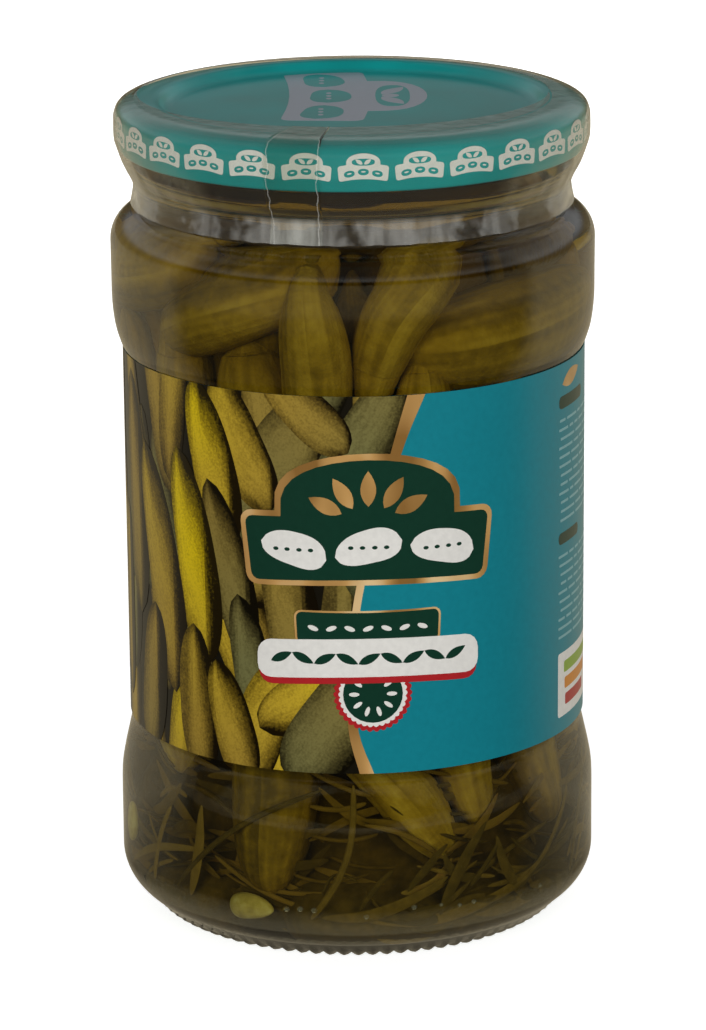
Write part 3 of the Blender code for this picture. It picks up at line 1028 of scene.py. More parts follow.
@dataclass
class PickleFilling:
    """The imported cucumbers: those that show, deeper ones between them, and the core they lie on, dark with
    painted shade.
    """

    jar: GlassJar
    seed: int = 11
    laid: list[tuple[tuple[Point, Point], float, Point, float, float]] = field(
        default_factory=lambda: [
            # lying across the upper window
            (((-42, 130), (-104, 119.5)), 13, (2.0, 0.0), 2, 0.5),
            (((-63, 113.5), (-5, 127.5)), 14, (0.0, 3.0), 1, 0.5),
            (((12, 113.5), (102, 117)), 18, (0.0, 0.0), 0.2, 0.48),
            (((177, 117), (114, 128)), 14, (0.0, 2.0), -2, 0.4),
            (((-164, 128), (-112, 116)), 12, (2.0, 0.0), 2, 0.7),
            # upright in the upper window
            (((-13, 127.5), (-11, 92)), 12.6, (0.0, 0.0), 1, 0.56),
            (((40, 130), (4, 104.5)), 12.5, (2.6, 0.8), -8, 0.62),
            (((144, 132), (151, 92)), 12, (3.0, 0.0), 3, 0.6),
            (((-178, 131), (-171, 90)), 11.5, (3.0, 0.0), -3, 0.3),
            # rising from behind the wrap
            (((-34, 116.5), (-28, 66)), 18, (0.5, 0.0), 2, 0.36),
            (((-57, 119), (-53, 64)), 14, (0.0, 0.0), -2, 0.4),
            (((20, 114), (20, 70)), 12, (0.5, 0.0), 1, 0.4),
            (((47, 111), (49, 66)), 12, (0.5, 0.0), 2, 0.3),
            (((112, 116), (107, 68)), 14, (0.5, 0.0), -2, 0.6),
            (((-91, 115), (-86, 66)), 13, (0.5, 0.0), 2, 0.5),
            (((-138, 117), (-131, 68)), 14, (0.5, 0.0), 2, 0.4),
            (((171, 113), (166, 70)), 13, (0.5, 0.0), 2, 0.8),
            # ending in the lower window
            (((-63, 28), (-57, 72)), 13, (1.0, 0.5), 2, 0.9),
            (((-26, 11.5), (-28, 62)), 16, (-1.2, 1.0), -1, 0.1),
            (((27, 18), (-9, 48)), 12, (2.0, 1.5), -1, 0.8),
            (((38, 22), (31, 66)), 11, (2.0, 1.0), 2, 0.66),
            (((70, 18), (58, 62)), 13, (2.4, 1.0), 2, 0.4),
            (((97, 24), (89, 70)), 14, (3.0, 1.0), 2, 0.6),
            (((141, 17), (118, 56)), 12, (3.0, 1.0), -2, 0.3),
            (((176, 26), (170, 70)), 13, (3.0, 1.0), 1, 0.7),
            (((-144, 18), (-150, 64)), 14, (3.0, 1.0), 2, 0.5),
            (((-101, 25), (-112, 66)), 12, (3.0, 1.0), -3, 0.3),
        ]
    )
    deeper: int = 12

    def skin_relief(self, phase: float) -> Callable[[float, float], float]:
        """Returns the swelling of one cucumber: soft ribs, uneven girth and scattered warts."""

        def relief(along: float, angle: float) -> float:
            rib = 0.005 * math.cos(9 * angle + phase)
            spot = Vector((along * 3.2, math.cos(angle), math.sin(angle)))
            girth = 0.07 * noise.noise(spot * 0.9 + Vector((phase, 0, 0)))
            near = noise.voronoi(spot * 2.6 + Vector((0, phase, 0)))[0][0]
            wart = 0.045 * max(0.0, 1 - near / 0.22) ** 2
            return 0.985 + rib + girth + wart

        return relief

    def build(self, skin: bpy.types.Material) -> bpy.types.Object:
        """Builds every cucumber that can be seen, as one piece.

        Args:
            skin: the finish.

        Returns:
            The dressed piece.
        """
        draw = random.Random(self.seed)
        parts = []
        for ends, thick, insets, bow, tone in self.laid:
            half = thick / 2
            route = Route(self.jar, ends, half, insets, bow)
            relief = self.skin_relief(draw.uniform(0, 40))
            parts.append(grow(route, half, half, tone, (28, 40), 2.45, relief))
        for index in range(self.deeper):
            turned = 360 * index / self.deeper + draw.uniform(-9, 9)
            top = draw.uniform(122, 129)
            ends = ((turned, top), (turned + draw.uniform(-16, 16), top - 46))
            half = draw.uniform(5.5, 7)
            route = Route(self.jar, ends, half, (8.0, 8.0), draw.uniform(-3, 3))
            relief = self.skin_relief(draw.uniform(0, 40))
            parts.append(grow(route, half, half, draw.uniform(0.0, 0.5), (20, 24), 2.45, relief))
        return dress(join("cucumbers", parts), skin, ["pickle_heap"])

    def build_core(self, skin: bpy.types.Material) -> bpy.types.Object:
        """Builds the lumpy middle that the cucumbers are packed on, and returns it dressed."""
        side = [(18, 15), (24, 18), (26, 34), (27, 60), (27.5, 98), (28, 112), (27, 122), (20, 128)]
        core = turn("packed_core", [(0.0, 14.8), *smooth_through(side), (0.0, 128.6)], 96)

        def lump(point: Vector) -> Vector:
            swell = 1 + 0.05 * noise.noise(point * 90) if point.length > 0 else 1.0
            return Vector((point.x * swell, point.y * swell, point.z))

        reshape(core, lump)
        mark(core, "tone", 0.1)
        return dress(core, skin, ["pickle_heap"])


@dataclass
class HerbFilling:
    """The stems and leaves in the lower window, and the mat that they rise from."""

    jar: GlassJar
    seed: int = 23
    laid: list[tuple[tuple[Point, Point], float, float, float]] = field(
        default_factory=lambda: [
            (((-76, 9.5), (-40, 19)), 1.8, 1.0, 2),
            (((-62, 9.0), (-54, 25)), 1.2, 0.9, 1),
            (((-47, 9.0), (-43, 27)), 2.6, 0.9, -1),
            (((-52, 10.0), (-9, 33)), 1.1, 0.9, 3),
            (((-12, 8.5), (-1, 34)), 1.3, 1.1, -3),
            (((-9, 9.0), (23, 16)), 2.6, 0.8, -2),
            (((2, 8.5), (54, 15)), 2.2, 0.8, -3),
            (((21, 8.5), (34, 25)), 2.6, 0.9, 1),
            (((46, 8.5), (37, 22)), 2.4, 0.8, 1),
            (((32, 9.0), (66, 26)), 1.2, 0.9, -4),
            (((67, 8.5), (82, 30)), 1.3, 1.0, 2),
            (((74, 9.5), (112, 16)), 2.4, 0.8, 2),
            (((100, 8.5), (126, 28)), 1.3, 1.0, -2),
            (((130, 9.0), (170, 15)), 2.6, 0.8, 2),
            (((151, 8.5), (161, 27)), 2.2, 0.9, -2),
            (((-176, 9.0), (-128, 17)), 2.4, 0.8, 2),
            (((-121, 8.5), (-109, 29)), 1.3, 1.0, 3),
            (((-93, 9.0), (-129, 24)), 1.2, 0.9, -3),
        ]
    )
    strays: int = 92
    litter: int = 120
    packed: int = 190
    front_clove: float = -29.0
    side_clove: float = -78.0

    def behind_cloves(self, turned: float, lean: float = 0.0) -> float:
        """Returns how much farther in herbs of that lean lie, where they would hide a clove."""
        middle, reach = (turned + lean / 2 + 180) % 360 - 180, abs(lean) / 2
        front = 1 - max(0.0, abs(middle - self.front_clove) - reach) / 14
        side = 1 - max(0.0, abs(middle - self.side_clove) - reach) / 10
        return 5.0 * min(1.0, 2 * max(front, side, 0.0))

    def sprig(self, route: Route, wide: float, thick: float, tone: float) -> bpy.types.Object:
        """Grows one stem, or one wavy leaf where it is wide, and returns it."""
        if wide < 1.7:
            return grow(route, wide / 2, thick / 2, tone, (8, 22), 7.0, lambda along, angle: 1.0)

        def crinkle(along: float, angle: float) -> float:
            return 0.92 + 0.09 * math.sin(9 * along + 1.5 * math.cos(angle) + 9 * tone)

        return grow(route, wide / 2, thick / 4, tone, (12, 22), 1.7, crinkle)

    def build(self, herb: bpy.types.Material) -> bpy.types.Object:
        """Builds all the stems and leaves as one piece.

        Args:
            herb: the finish.

        Returns:
            The dressed piece.
        """
        draw = random.Random(self.seed)
        parts = []
        for ends, wide, thick, bow in self.laid:
            route = Route(self.jar, ends, thick / 2, (0.3, 0.3), bow)
            parts.append(self.sprig(route, wide, thick, draw.uniform(0.2, 0.7)))
        for index in range(self.strays):
            turned = 360 * index / self.strays + draw.uniform(-6, 6)
            low = draw.uniform(8.2, 15)
            lean = draw.choice((-1, 1)) * draw.uniform(8, 34)
            ends = ((turned, low), (turned + lean, low + draw.uniform(1, 9)))
            wide = draw.choice((0.6, 0.7, 0.9, 1.1, 1.8, 2.2))
            thick = 0.6 if wide < 1.7 else 0.7
            inset = draw.uniform(0.2, 2.2) + self.behind_cloves(turned, lean)
            insets = (inset, inset + draw.uniform(-0.2, 1.0))
            route = Route(self.jar, ends, thick / 2, insets, draw.uniform(-3, 3))
            parts.append(self.sprig(route, wide, thick, draw.uniform(0.05, 0.76)))
        for index in range(self.litter):
            turned = 360 * index / self.litter + draw.uniform(-5, 5)
            low = draw.uniform(5.8, 9.5)
            lean = draw.choice((-1, 1)) * draw.uniform(9, 24)
            ends = ((turned, low), (turned + lean, max(5.6, low + draw.uniform(-1.5, 2.5))))
            inset = draw.uniform(0.0, 1.6) + self.behind_cloves(turned, lean)
            route = Route(self.jar, ends, 0.3, (inset, inset + 0.3), draw.uniform(-0.6, 0.6))
            parts.append(self.sprig(route, draw.uniform(1.7, 2.8), 0.6, draw.uniform(0.0, 0.6)))
        return dress(join("herbs", parts), herb, ["herb_bed"])

    def build_tangle(self, herb: bpy.types.Material) -> bpy.types.Object:
        """Builds the leaves that are packed behind, between the cucumbers' ends, and returns them dressed."""
        draw = random.Random(self.seed + 1)
        parts = []
        for index in range(self.packed):
            turned = 360 * index / self.packed + draw.uniform(-6, 6)
            low = draw.uniform(9, 33)
            lean = draw.choice((-1, 1)) * draw.uniform(12, 32)
            ends = ((turned, low), (turned + lean, min(36.0, low + draw.uniform(-3, 10))))
            inset = draw.uniform(2.5, 7.5) + 0.14 * max(0.0, low - 14)
            route = Route(self.jar, ends, 0.3, (inset, inset + draw.uniform(-0.8, 0.8)), draw.uniform(-2, 2))
            parts.append(self.sprig(route, draw.choice((0.7, 1.0, 1.8, 2.4)), 0.7, draw.uniform(0.1, 0.75)))
        return dress(join("packed_herbs", parts), herb, ["herb_bed"])

    def build_mat(self, herb: bpy.types.Material) -> bpy.types.Object:
        """Builds the matted mound on the floor, and returns it dressed."""
        side = [(36.6, 4.6), (38.8, 5.8), (39.9, 7.6), (39.2, 9.6), (36.8, 12)]
        side += [(34.0, 15), (31.6, 19), (30.2, 26), (24, 36.5)]
        mat = turn("herb_mat", [(0.0, 5.1), (28, 4.9), *smooth_through(side), (0.0, 37.0)], 180)

        def fray(point: Vector) -> Vector:
            lift = 0.0
            if point.z > 7 * MM and math.hypot(point.x, point.y) > 15 * MM:
                share = min(1.0, 0.1 + 0.13 * (point.z / MM - 7))
                lift = share * (1.7 * noise.noise(point * 130) + 0.9 * noise.noise(point * 380)) * MM
            if point.z < 21 * MM and math.hypot(point.x, point.y) > 30 * MM:
                lift -= self.behind_cloves(math.degrees(math.atan2(point.x, -point.y))) * MM
            return point + Vector((point.x, point.y, 0)).normalized() * lift

        reshape(mat, fray)
        mark(mat, "tone", 0.26)
        return dress(mat, herb, ["herb_bed"])


@dataclass
class GarlicCloves:
    """The two pale cloves near the glass at the foot."""

    jar: GlassJar
    laid: dict[str, tuple[Point, Point]] = field(
        default_factory=lambda: {
            "garlic_clove_front": ((-36, 8.4), (-23, 8.7)),
            "garlic_clove_side": ((-80, 12.5), (-77, 20.5)),
        }
    )
    half: float = 2.5

    def build(self, flesh: bpy.types.Material) -> list[bpy.types.Object]:
        """Builds the cloves, ridged along one side, and returns them dressed."""
        made = []
        for name, ends in self.laid.items():
            route = Route(self.jar, ends, self.half, (0.0, 0.0), 0.6)
            clove = grow(route, self.half, self.half * 0.85, 0.5, (24, 20), 2.2, self.facet)
            made.append(dress(rename(clove, name + "_flesh"), flesh, [name]))
        return made

    def facet(self, along: float, angle: float) -> float:
        """Returns the swelling of a clove: two flat sides, a ridge and a thin tip."""
        return (1 - 0.08 * math.cos(3 * angle)) * (1.05 - 0.22 * along)


@dataclass
class BrineFill:
    """The liquid, which reaches just into the glass, and the bubbles caught at the foot."""

    jar: GlassJar
    level: float = 146.0
    bite: float = 0.12

    def build(self, brine: bpy.types.Material) -> bpy.types.Object:
        """Builds the liquid up to its level, and returns it dressed."""
        wall = [(radius + self.bite, height) for radius, height in self.jar.wall_line if height < self.level]
        wall = [(radius, height - self.bite if height < 8 else height) for radius, height in wall]
        floor = self.jar.floor + 0.5 - self.bite
        outline = [(0.0, floor), (20.0, floor - 0.3), *wall]
        outline += [(36.6 + self.bite, self.level), (0.0, self.level)]
        return dress(turn("brine", outline), brine)

    def build_bubbles(self, air: bpy.types.Material) -> bpy.types.Object:
        """Builds the small bubbles along the floor's corner, and returns them dressed."""
        draw = random.Random(5)
        parts = []
        for turned in (-18, -14.5, -11, 2, 14, 21, 26, 30, 52, 88, 140, -120, -160):
            height = draw.uniform(9.5, 11)
            radius = draw.uniform(0.4, 0.65)
            reach = self.jar.radius_at(height) - radius - 0.35
            deselect()
            place = on_wall(reach, math.radians(turned), height) * MM
            size = radius * MM
            bpy.ops.mesh.primitive_uv_sphere_add(segments=14, ring_count=10, radius=size, location=place)
            bpy.ops.object.mode_set(mode="EDIT")
            bpy.ops.transform.resize(value=(1.0, 1.0, 0.88))
            bpy.ops.object.mode_set(mode="OBJECT")
            bpy.ops.object.transform_apply(location=True)
            bpy.ops.object.shade_smooth()
            parts.append(bpy.context.object)
        return dress(join("bubbles", parts), air)


@dataclass
class TwistOffLid:
    """The pressed lid, with a ring of small badges on its side and a medallion on its top."""

    radius: float = 43.2
    bottom: float = 144.4
    top: float = 153.4
    recess: float = 2.0
    badges: int = 27
    badge_width: float = 8.8
    badge_height: float = 4.4
    badge_middle: float = 148.7
    badges_turned: float = 2.6
    medallion: tuple[float, float] = (-1.0, 10.0)

    def build(self, lacquer: bpy.types.Material) -> bpy.types.Object:
        """Builds the metal, and returns it dressed."""
        floor = self.top - self.recess
        outline: Outline = [(0.0, floor), (16.0, floor), (32.6, floor)]
        bead = [(33.4, floor + 0.05), (34.3, floor + 0.5), (35.3, self.top - 0.25), (36.5, self.top)]
        outline += smooth_through(bead)
        outline += smooth_through([(37.6, self.top - 0.25), (39.4, self.top - 0.42), (41.2, self.top - 0.75)])
        shoulder = [(42.3, self.top - 1.3), (43.0, self.top - 2.1), (self.radius, self.top - 3.1)]
        outline += smooth_through(shoulder)
        outline += [(self.radius, 149.0), (self.radius, 147.6)]
        skirt = [(43.12, 146.9), (42.75, 145.6), (42.5, self.bottom + 0.3), (41.9, self.bottom)]
        outline += smooth_through(skirt)
        outline += smooth_through([(41.3, self.bottom + 0.35), (41.5, 146.0), (41.7, 150.4), (40.4, 151.7)])
        outline += [(36.5, self.top - 0.9), (34.9, floor - 0.5), (0.0, floor - 0.4)]
        return dress(turn("lid_metal", outline), lacquer, ["lid"])

    def build_badges(self, white: bpy.types.Material, teal: bpy.types.Material) -> list[bpy.types.Object]:
        """Builds the badges: a white plate with a hump, three teal gherkins on it, and two white leaves.

        Args:
            white: the print's white.
            teal: the lacquer, for the field.

        Returns:
            The dressed print, one piece for each layer.
        """
        wide, tall = self.badge_width, self.badge_height
        plates = [plate((0, -0.8), wide, tall * 0.62, 0.45, 0.06, -0.5, wide * 0.66, tall * 0.42)]
        fields = [oval((0, 1.35), wide * 0.46, tall * 0.28, 0, 2.6)]
        motifs = [leaf((-0.75, 1.4), 1.5, 0.7, 145), leaf((0.75, 1.4), 1.5, 0.7, 35)]
        for step in (-1, 0, 1):
            across, rise = 2.45 * step, 0.35 * (1 - abs(step))
            fields.append(oval((across, -0.75 + rise), 1.9, 1.15, -12 * step, 2.2))
            motifs.append(oval((across, -0.7 + rise), 0.8, 0.28, -12 * step))
        layers = (
            ("badge_plates", plates, 0.012, white),
            ("badge_fields", fields, 0.024, teal),
            ("badge_motifs", motifs, 0.036, white),
        )
        made = []
        for name, outlines, lift, ink in layers:
            raised = [tilted(outline, (0, self.badge_middle), 0) for outline in outlines]
            first = cut(name, raised)
            wrap(first, self.radius + lift, self.radius, 0.05 + lift, self.badges_turned)
            copies = [first]
            for index in range(1, self.badges):
                copy = first.copy()
                copy.data = first.data.copy()
                bpy.context.collection.objects.link(copy)
                copy.data.transform(Matrix.Rotation(2 * math.pi * index / self.badges, 4, "Z"))
                copies.append(copy)
            made.append(dress(join(name, copies), ink))
        return made

    def build_medallion(
        self, pale: bpy.types.Material, lacquer: bpy.types.Material
    ) -> list[bpy.types.Object]:
        """Builds the print on the lid's top: a plaque, turned a quarter, with gherkins under a leafy hump.

        Args:
            pale: the lilac-grey ink.
            lacquer: the ground's colour.

        Returns:
            The dressed print, one piece for each layer.
        """
        plaque = [plate((0, -4.5), 46, 15, 2.0, 0.05, -1.5, 28, 10.5)]
        fields = [oval((0, 8.6), 20, 6.4, 0, 2.6)]
        motifs = [leaf((-4.6, 8.6), 8.0, 3.0, 150), leaf((4.6, 8.6), 8.0, 3.0, 30), oval((0, 8.2), 3.2, 3.2)]
        for step in (-1, 0, 1):
            across, rise = 15.0 * step, 1.4 * (1 - abs(step))
            fields.append(spindle((across, -4.8 + rise), 7.5, 12.5, 90 - 8 * step, 0.6))
            motifs += [oval((across + 2.6 * seed, -4.6 + rise), 1.4, 1.0) for seed in (-1, 0, 1)]
        made = []
        layers = (
            ("medallion_plaque", plaque, 0.02, pale),
            ("medallion_fields", fields, 0.04, lacquer),
            ("medallion_motifs", motifs, 0.06, pale),
        )
        for name, outlines, lift, ink in layers:
            height = self.top - self.recess + lift
            sheet = cut(name, outlines)
            right, back = self.medallion
            laid = Matrix(((0, 0, 1, right * MM), (-1, 0, 0, back * MM), (0, 1, 0, height * MM)))
            sheet.data.transform(laid.to_4x4())
            thicken(sheet, 0.05 + lift)
            made.append(dress(sheet, ink))
        return made


@dataclass
class ShrinkBand:
    """The clear film over the lid's edge and the neck, with its overlap at the front left."""

    radius: float = 43.62
    thickness: float = 0.07
    top: float = 153.5
    bottom: float = 134.5
    seam_from: float = -21.0
    seam_to: float = -7.5
    fold: float = 33.0
    opening: Point = (37.8, 33.2)
    opening_centre: Point = (-1.6, 4.4)

    def line(self, lift: float) -> Outline:
        """Returns the film's section from its upper edge down, raised off itself by a lift."""
        points = [(self.fold, self.top - 0.06), (37.0, self.top - 0.05), (40.0, self.top - 0.1)]
        points += [(42.0, self.top - 0.66), (43.05, self.top - 1.42), (43.55, self.top - 2.7)]
        points += [(self.radius, 150.0), (self.radius, 147.0), (43.3, 145.4), (42.4, 142.9)]
        points += [(41.55, 141.1), (40.7, 139.5), (40.22, 138.2), (40.35, 136.6), (40.75, self.bottom)]
        raised = []
        for radius, height in points:
            slope = max(0.0, min(1.0, (height - 150.0) / 3.0))
            raised.append((radius + lift * (1 - slope), height + lift * slope))
        return smooth_through(raised, 4)

    def edge_radius(self, angle: float) -> float:
        """Returns how far in the film folds over the lid's top, which is uneven: furthest at the front."""
        across, deep = math.cos(angle), math.sin(angle)
        wide, tall = self.opening
        shift_x, shift_y = self.opening_centre
        square = (across / wide) ** 2 + (deep / tall) ** 2
        middle = (across * shift_x) / wide**2 + (deep * shift_y) / tall**2
        rest = (shift_x / wide) ** 2 + (shift_y / tall) ** 2 - 1
        return (middle + math.sqrt(middle**2 - square * rest)) / square

    def crumple(self, point: Vector) -> Vector:
        """Returns a point of the film moved by its puckers: upright folds, deepest under the lid."""
        angle = math.atan2(point.y, point.x)
        height = point.z / MM
        reach = math.hypot(point.x, point.y) / MM
        if height > 150 and reach < 40:
            share = (40 - reach) / (40 - self.fold)
            pulled = 40 - share * (40 - self.edge_radius(angle))
            ripple = 0.02 * share * noise.noise(Vector((math.cos(angle) * 9, math.sin(angle) * 9, 3)))
            return Vector((point.x, point.y, 0)) * (pulled / reach) + Vector((0, 0, (height + ripple) * MM))
        under_lid = math.exp(-(((height - 141.5) / 3.0) ** 2))
        under_lid += 0.55 * math.exp(-(((height - 136.0) / 2.0) ** 2))
        folds = noise.noise(Vector((math.cos(angle) * 14, math.sin(angle) * 14, height * 0.12)))
        fine = noise.noise(Vector((math.cos(angle) * 34, math.sin(angle) * 34, height * 0.35 + 9)))
        move = (0.04 + 0.2 * under_lid) * folds + (0.02 + 0.05 * under_lid) * fine
        outward = Vector((point.x, point.y, 0)).normalized()
        edge = 0.25 * folds * MM if height < self.bottom + 0.4 else 0.0
        return point + outward * (move * MM) + Vector((0, 0, edge))

    def build(self, film: bpy.types.Material, lapped: bpy.types.Material) -> list[bpy.types.Object]:
        """Builds the band and its overlap strip, and returns them dressed."""
        outer = self.line(0.0)
        inner = self.line(-self.thickness)
        band = turn("film_band", [*outer, *reversed(inner), outer[0]], 480)
        reshape(band, self.crumple)
        over = self.line(0.07)
        under = self.line(0.03)
        strip = turn("film_overlap", [*over, *reversed(under), over[0]], 480)
        self.keep_strip(strip)
        reshape(strip, self.crumple)
        return [
            dress(band, film, ["shrink_band"]),
            dress(strip, lapped, ["shrink_band"]),
        ]

    def keep_strip(self, strip: bpy.types.Object) -> None:
        """Cuts the overlap out of a whole turn of film and closes its two upright edges."""
        pick(strip)
        bpy.ops.object.mode_set(mode="EDIT")
        first, last = math.radians(self.seam_from), math.radians(self.seam_to)
        before = (-math.cos(first), -math.sin(first), 0)
        after = (math.cos(last), math.sin(last), 0)
        behind = (0, 1, 0)
        for side in (before, after, behind):
            cut_through((0, 0, 0), side, use_fill=True, clear_outer=True)
        bpy.ops.mesh.select_all(action="SELECT")
        bpy.ops.mesh.normals_make_consistent(inside=False)
        bpy.ops.object.mode_set(mode="OBJECT")


@dataclass
class WrapLabel:
    """The printed wrap: cucumbers, a gold edge, a teal field, plaques, a seal and side panels."""

    radius: float = 42.70
    back: float = 42.48
    bottom: float = 37.3
    top: float = 107.7
    layer: float = 0.012
    picture_layer: float = 0.003
    picture_left: float = -92.0
    gold_left: tuple[Point, ...] = ((0.5, 37.3), (-1.7, 48.5), (-0.3, 70.2), (6.0, 95.6), (9.5, 107.7))
    gold_right: tuple[Point, ...] = ((3.1, 37.3), (-0.1, 48.5), (1.1, 70.2), (7.9, 95.6), (12.8, 107.7))
    seed: int = 41
    chosen: tuple[tuple[float, float, float, float, float, float, float], ...] = (
        # across, up, width, length, tilt, hue, bend
        (-52.0, 83, 9.0, 46, 5, 0.5, 0.8),
        (-58.0, 61, 7.5, 38, 0, 0.3, -0.6),
        (-14.5, 93, 14.5, 34, -28, 0.8, 0.0),
        (1.0, 99, 11.0, 30, -30, 0.95, 0.6),
        (-21.0, 98, 9.6, 27, 24, 0.25, -0.5),
        (-9.0, 105, 8.5, 22, 46, 0.5, 0.0),
        (-12.5, 68, 10.0, 32, 10, 0.62, 0.8),
        (-28.0, 93, 9.6, 32, 14, 0.1, 0.8),
        (-24.5, 74, 8.0, 34, 14, 0.75, 1.0),
        (-32.8, 75, 9.6, 41, 10, 0.0, 1.2),
        (-42.5, 71, 10.2, 47, 12, 0.28, 1.5),
        (-20.0, 57, 7.6, 26, 10, 1.0, 0.4),
        (-31.5, 48, 9.0, 29, 4, 0.35, -0.4),
        (-45.5, 49, 9.2, 30, -6, 0.55, 0.5),
        (-17.0, 46, 10.0, 27, -18, 0.2, -0.8),
        (-8.5, 53, 9.6, 25, -50, 0.1, 0.6),
        (-3.5, 48, 13.5, 31, -34, 0.85, 0.5),
        (-24.0, 45, 8.6, 24, 16, 0.3, 0.3),
    )

    @property
    def middle(self) -> float:
        """Height of the wrap's middle."""
        return (self.bottom + self.top) / 2

    def heights(self, rows: int) -> list[float]:
        """Returns evenly spaced heights from the wrap's bottom to its top."""
        return [self.bottom + (self.top - self.bottom) * row / rows for row in range(rows + 1)]

    def gold_edge(self, up: float) -> float:
        """Returns how far across the gold edge's left side is at a height."""
        return across_at(self.gold_left, up)

    def gold_width(self, up: float) -> float:
        """Returns the gold edge's width at a height."""
        return across_at(self.gold_right, up) - across_at(self.gold_left, up)

    def print_layer(
        self, name: str, outlines: Sequence[Outline], level: int, ink: bpy.types.Material
    ) -> bpy.types.Object:
        """Prints flat shapes on the wrap.

        Args:
            name: the layer's name.
            outlines: its shapes.
            level: how many layers lie under it, the picture among them.
            ink: its finish.

        Returns:
            The dressed layer.
        """
        lift = 0.13 + self.layer * level
        sheet = cut(name, outlines)
        wrap(sheet, self.radius + lift, self.radius, lift + 0.08)
        return dress(sheet, ink)

    def build_base(self, teal: bpy.types.Material) -> bpy.types.Object:
        """Builds the sleeve with its lap at the back, and returns it dressed."""
        outline = [
            (self.radius, self.top),
            (self.radius, self.bottom),
            (self.back, self.bottom),
            (self.back, self.top),
            (self.radius, self.top),
        ]
        return dress(turn("wrap_sleeve", outline), teal, ["label"])

    def build_ground(self, dark: bpy.types.Material) -> bpy.types.Object:
        """Builds the picture's dark ground, left of the gold edge, and returns it dressed."""
        right = [(self.gold_edge(up) + 0.6, up) for up in self.heights(30)]
        outline = [(self.picture_left, self.bottom), *right, (self.picture_left, self.top)]
        sheet = cut("picture_ground", [outline])
        wrap(sheet, self.radius + self.picture_layer, self.radius, 0.06)
        return dress(sheet, dark)

    def build_picture(self, printed: bpy.types.Material) -> bpy.types.Object:
        """Builds the printed cucumbers, back to front, clipped to the picture.

        Args:
            printed: their finish.

        Returns:
            The dressed picture.
        """
        draw = random.Random(self.seed)
        lying: list[tuple[float, float, float, float, float, float, float]] = []
        for row in range(4):
            for column in range(11):
                across = -90 + 8.6 * column + draw.uniform(-2.5, 2.5) + 3 * (row % 2)
                up = 44 + 19 * row + draw.uniform(-6, 6)
                wide, long = draw.uniform(6, 9.4), draw.uniform(26, 44)
                lean = draw.uniform(-8, 16) if across < -30 else draw.uniform(-34, 26)
                tone = draw.choice((0.12, 0.3, 0.45, 0.6, 0.75, 0.9, 1.0))
                lying.append((across, up, wide, long, lean, tone, draw.uniform(-1.5, 1.5)))
        parts = []
        for index, shape in enumerate([*lying, *self.chosen]):
            parts.append(self.print_cucumber(index, *shape))
        return dress(join("picture", [part for part in parts if part]), printed)

    def print_cucumber(
        self,
        index: int,
        across: float,
        up: float,
        wide: float,
        long: float,
        tilt: float,
        tone: float,
        bend: float,
    ) -> bpy.types.Object | None:
        """Prints one cucumber, or nothing where it falls outside the picture.

        Args:
            index: how many lie under it.
            across: its middle across the wrap.
            up: its middle's height.
            wide: its width.
            long: its length.
            tilt: how far its top leans to the left, in degrees.
            tone: its hue, from bright yellow at 0 to grey-olive at 1.
            bend: how far its middle is bent sideways.

        Returns:
            The wrapped shape, or None.
        """
        outline = spindle((across, up), wide, long, tilt, bend)
        if min(place[0] for place in outline) > self.gold_edge(up) + 1:
            return None
        sheet = cut("printed", [outline])
        pick(sheet)
        bpy.ops.object.mode_set(mode="EDIT")
        for place, normal in (
            ((0, 0, self.bottom), (0, 0, -1)),
            ((0, 0, self.top), (0, 0, 1)),
            ((self.picture_left, 0, 0), (-1, 0, 0)),
        ):
            cut_through(Vector(place) * MM, normal, clear_outer=True)
        bpy.ops.object.mode_set(mode="OBJECT")
        slice_upright(sheet, COLUMN_ANGLE * self.radius / 2 * MM)
        layer = sheet.data.uv_layers.new(name="print")
        turned = Matrix.Rotation(math.radians(-tilt), 2)
        for loop in sheet.data.loops:
            point = sheet.data.vertices[loop.vertex_index].co
            flat = turned @ Vector((point.x / MM - across, point.z / MM - up))
            along = max(-1.0, min(1.0, flat.y / (long / 2)))
            side = (flat.x - bend * (1 - along**2)) / (wide / 2 * max(0.12, spindle_half(along)))
            layer.data[loop.index].uv = (side, along)
        mark(sheet, "tone", tone)
        lift = 0.006 + self.picture_layer / 2 * index
        wrap(sheet, self.radius + lift, self.radius, lift + 0.05)
        return sheet

    def build_front(self, inks: dict[str, bpy.types.Material]) -> list[bpy.types.Object]:
        """Builds the gold edge, the plaques, the banner and the seal.

        Args:
            inks: the finishes by name.

        Returns:
            The dressed layers.
        """
        heights = self.heights(36)
        right = [(self.gold_edge(up) + self.gold_width(up), up) for up in heights]
        left = [(self.gold_edge(up), up) for up in reversed(heights)]
        main, small, banner, seal = (2.4, 79.0), (2.2, 64.8), (2.4, 58.4), (3.0, 52.4)
        rays = []
        for lean in (-64, -32, 0, 32, 64):
            turned = math.radians(lean)
            place = (main[0] + 8.6 * math.sin(turned), 85.2 + 5.6 * math.cos(turned))
            rays.append(leaf(place, 6.6, 2.8, 90 - lean))
        gherkins: list[Outline] = []
        seeds: list[Outline] = []
        for across, up, lean in ((-13.6, 79.0, 76), (0.0, 79.6, 104), (13.6, 79.0, 80)):
            gherkins.append(spindle((main[0] + across, up), 6.2, 12.4, lean, 0.5))
            for step in (-3.2, -1.1, 1.1, 3.2):
                seeds.append(oval((main[0] + across + step, up + 0.3), 1.0, 0.7, 0, 2, 12))
        beads = []
        for step in range(-3, 4):
            beads.append(oval((small[0] + 3.3 * step, small[1]), 2.0, 0.9, 20 * (-1) ** step, 2, 14))
        sprays = []
        for step in range(-4, 5):
            sprays.append(leaf((banner[0] + 4.0 * step, banner[1] + 0.7), 4.4, 1.6, 26 * (-1) ** step))
        slices = []
        for turned in range(0, 360, 36):
            spoke = math.radians(turned)
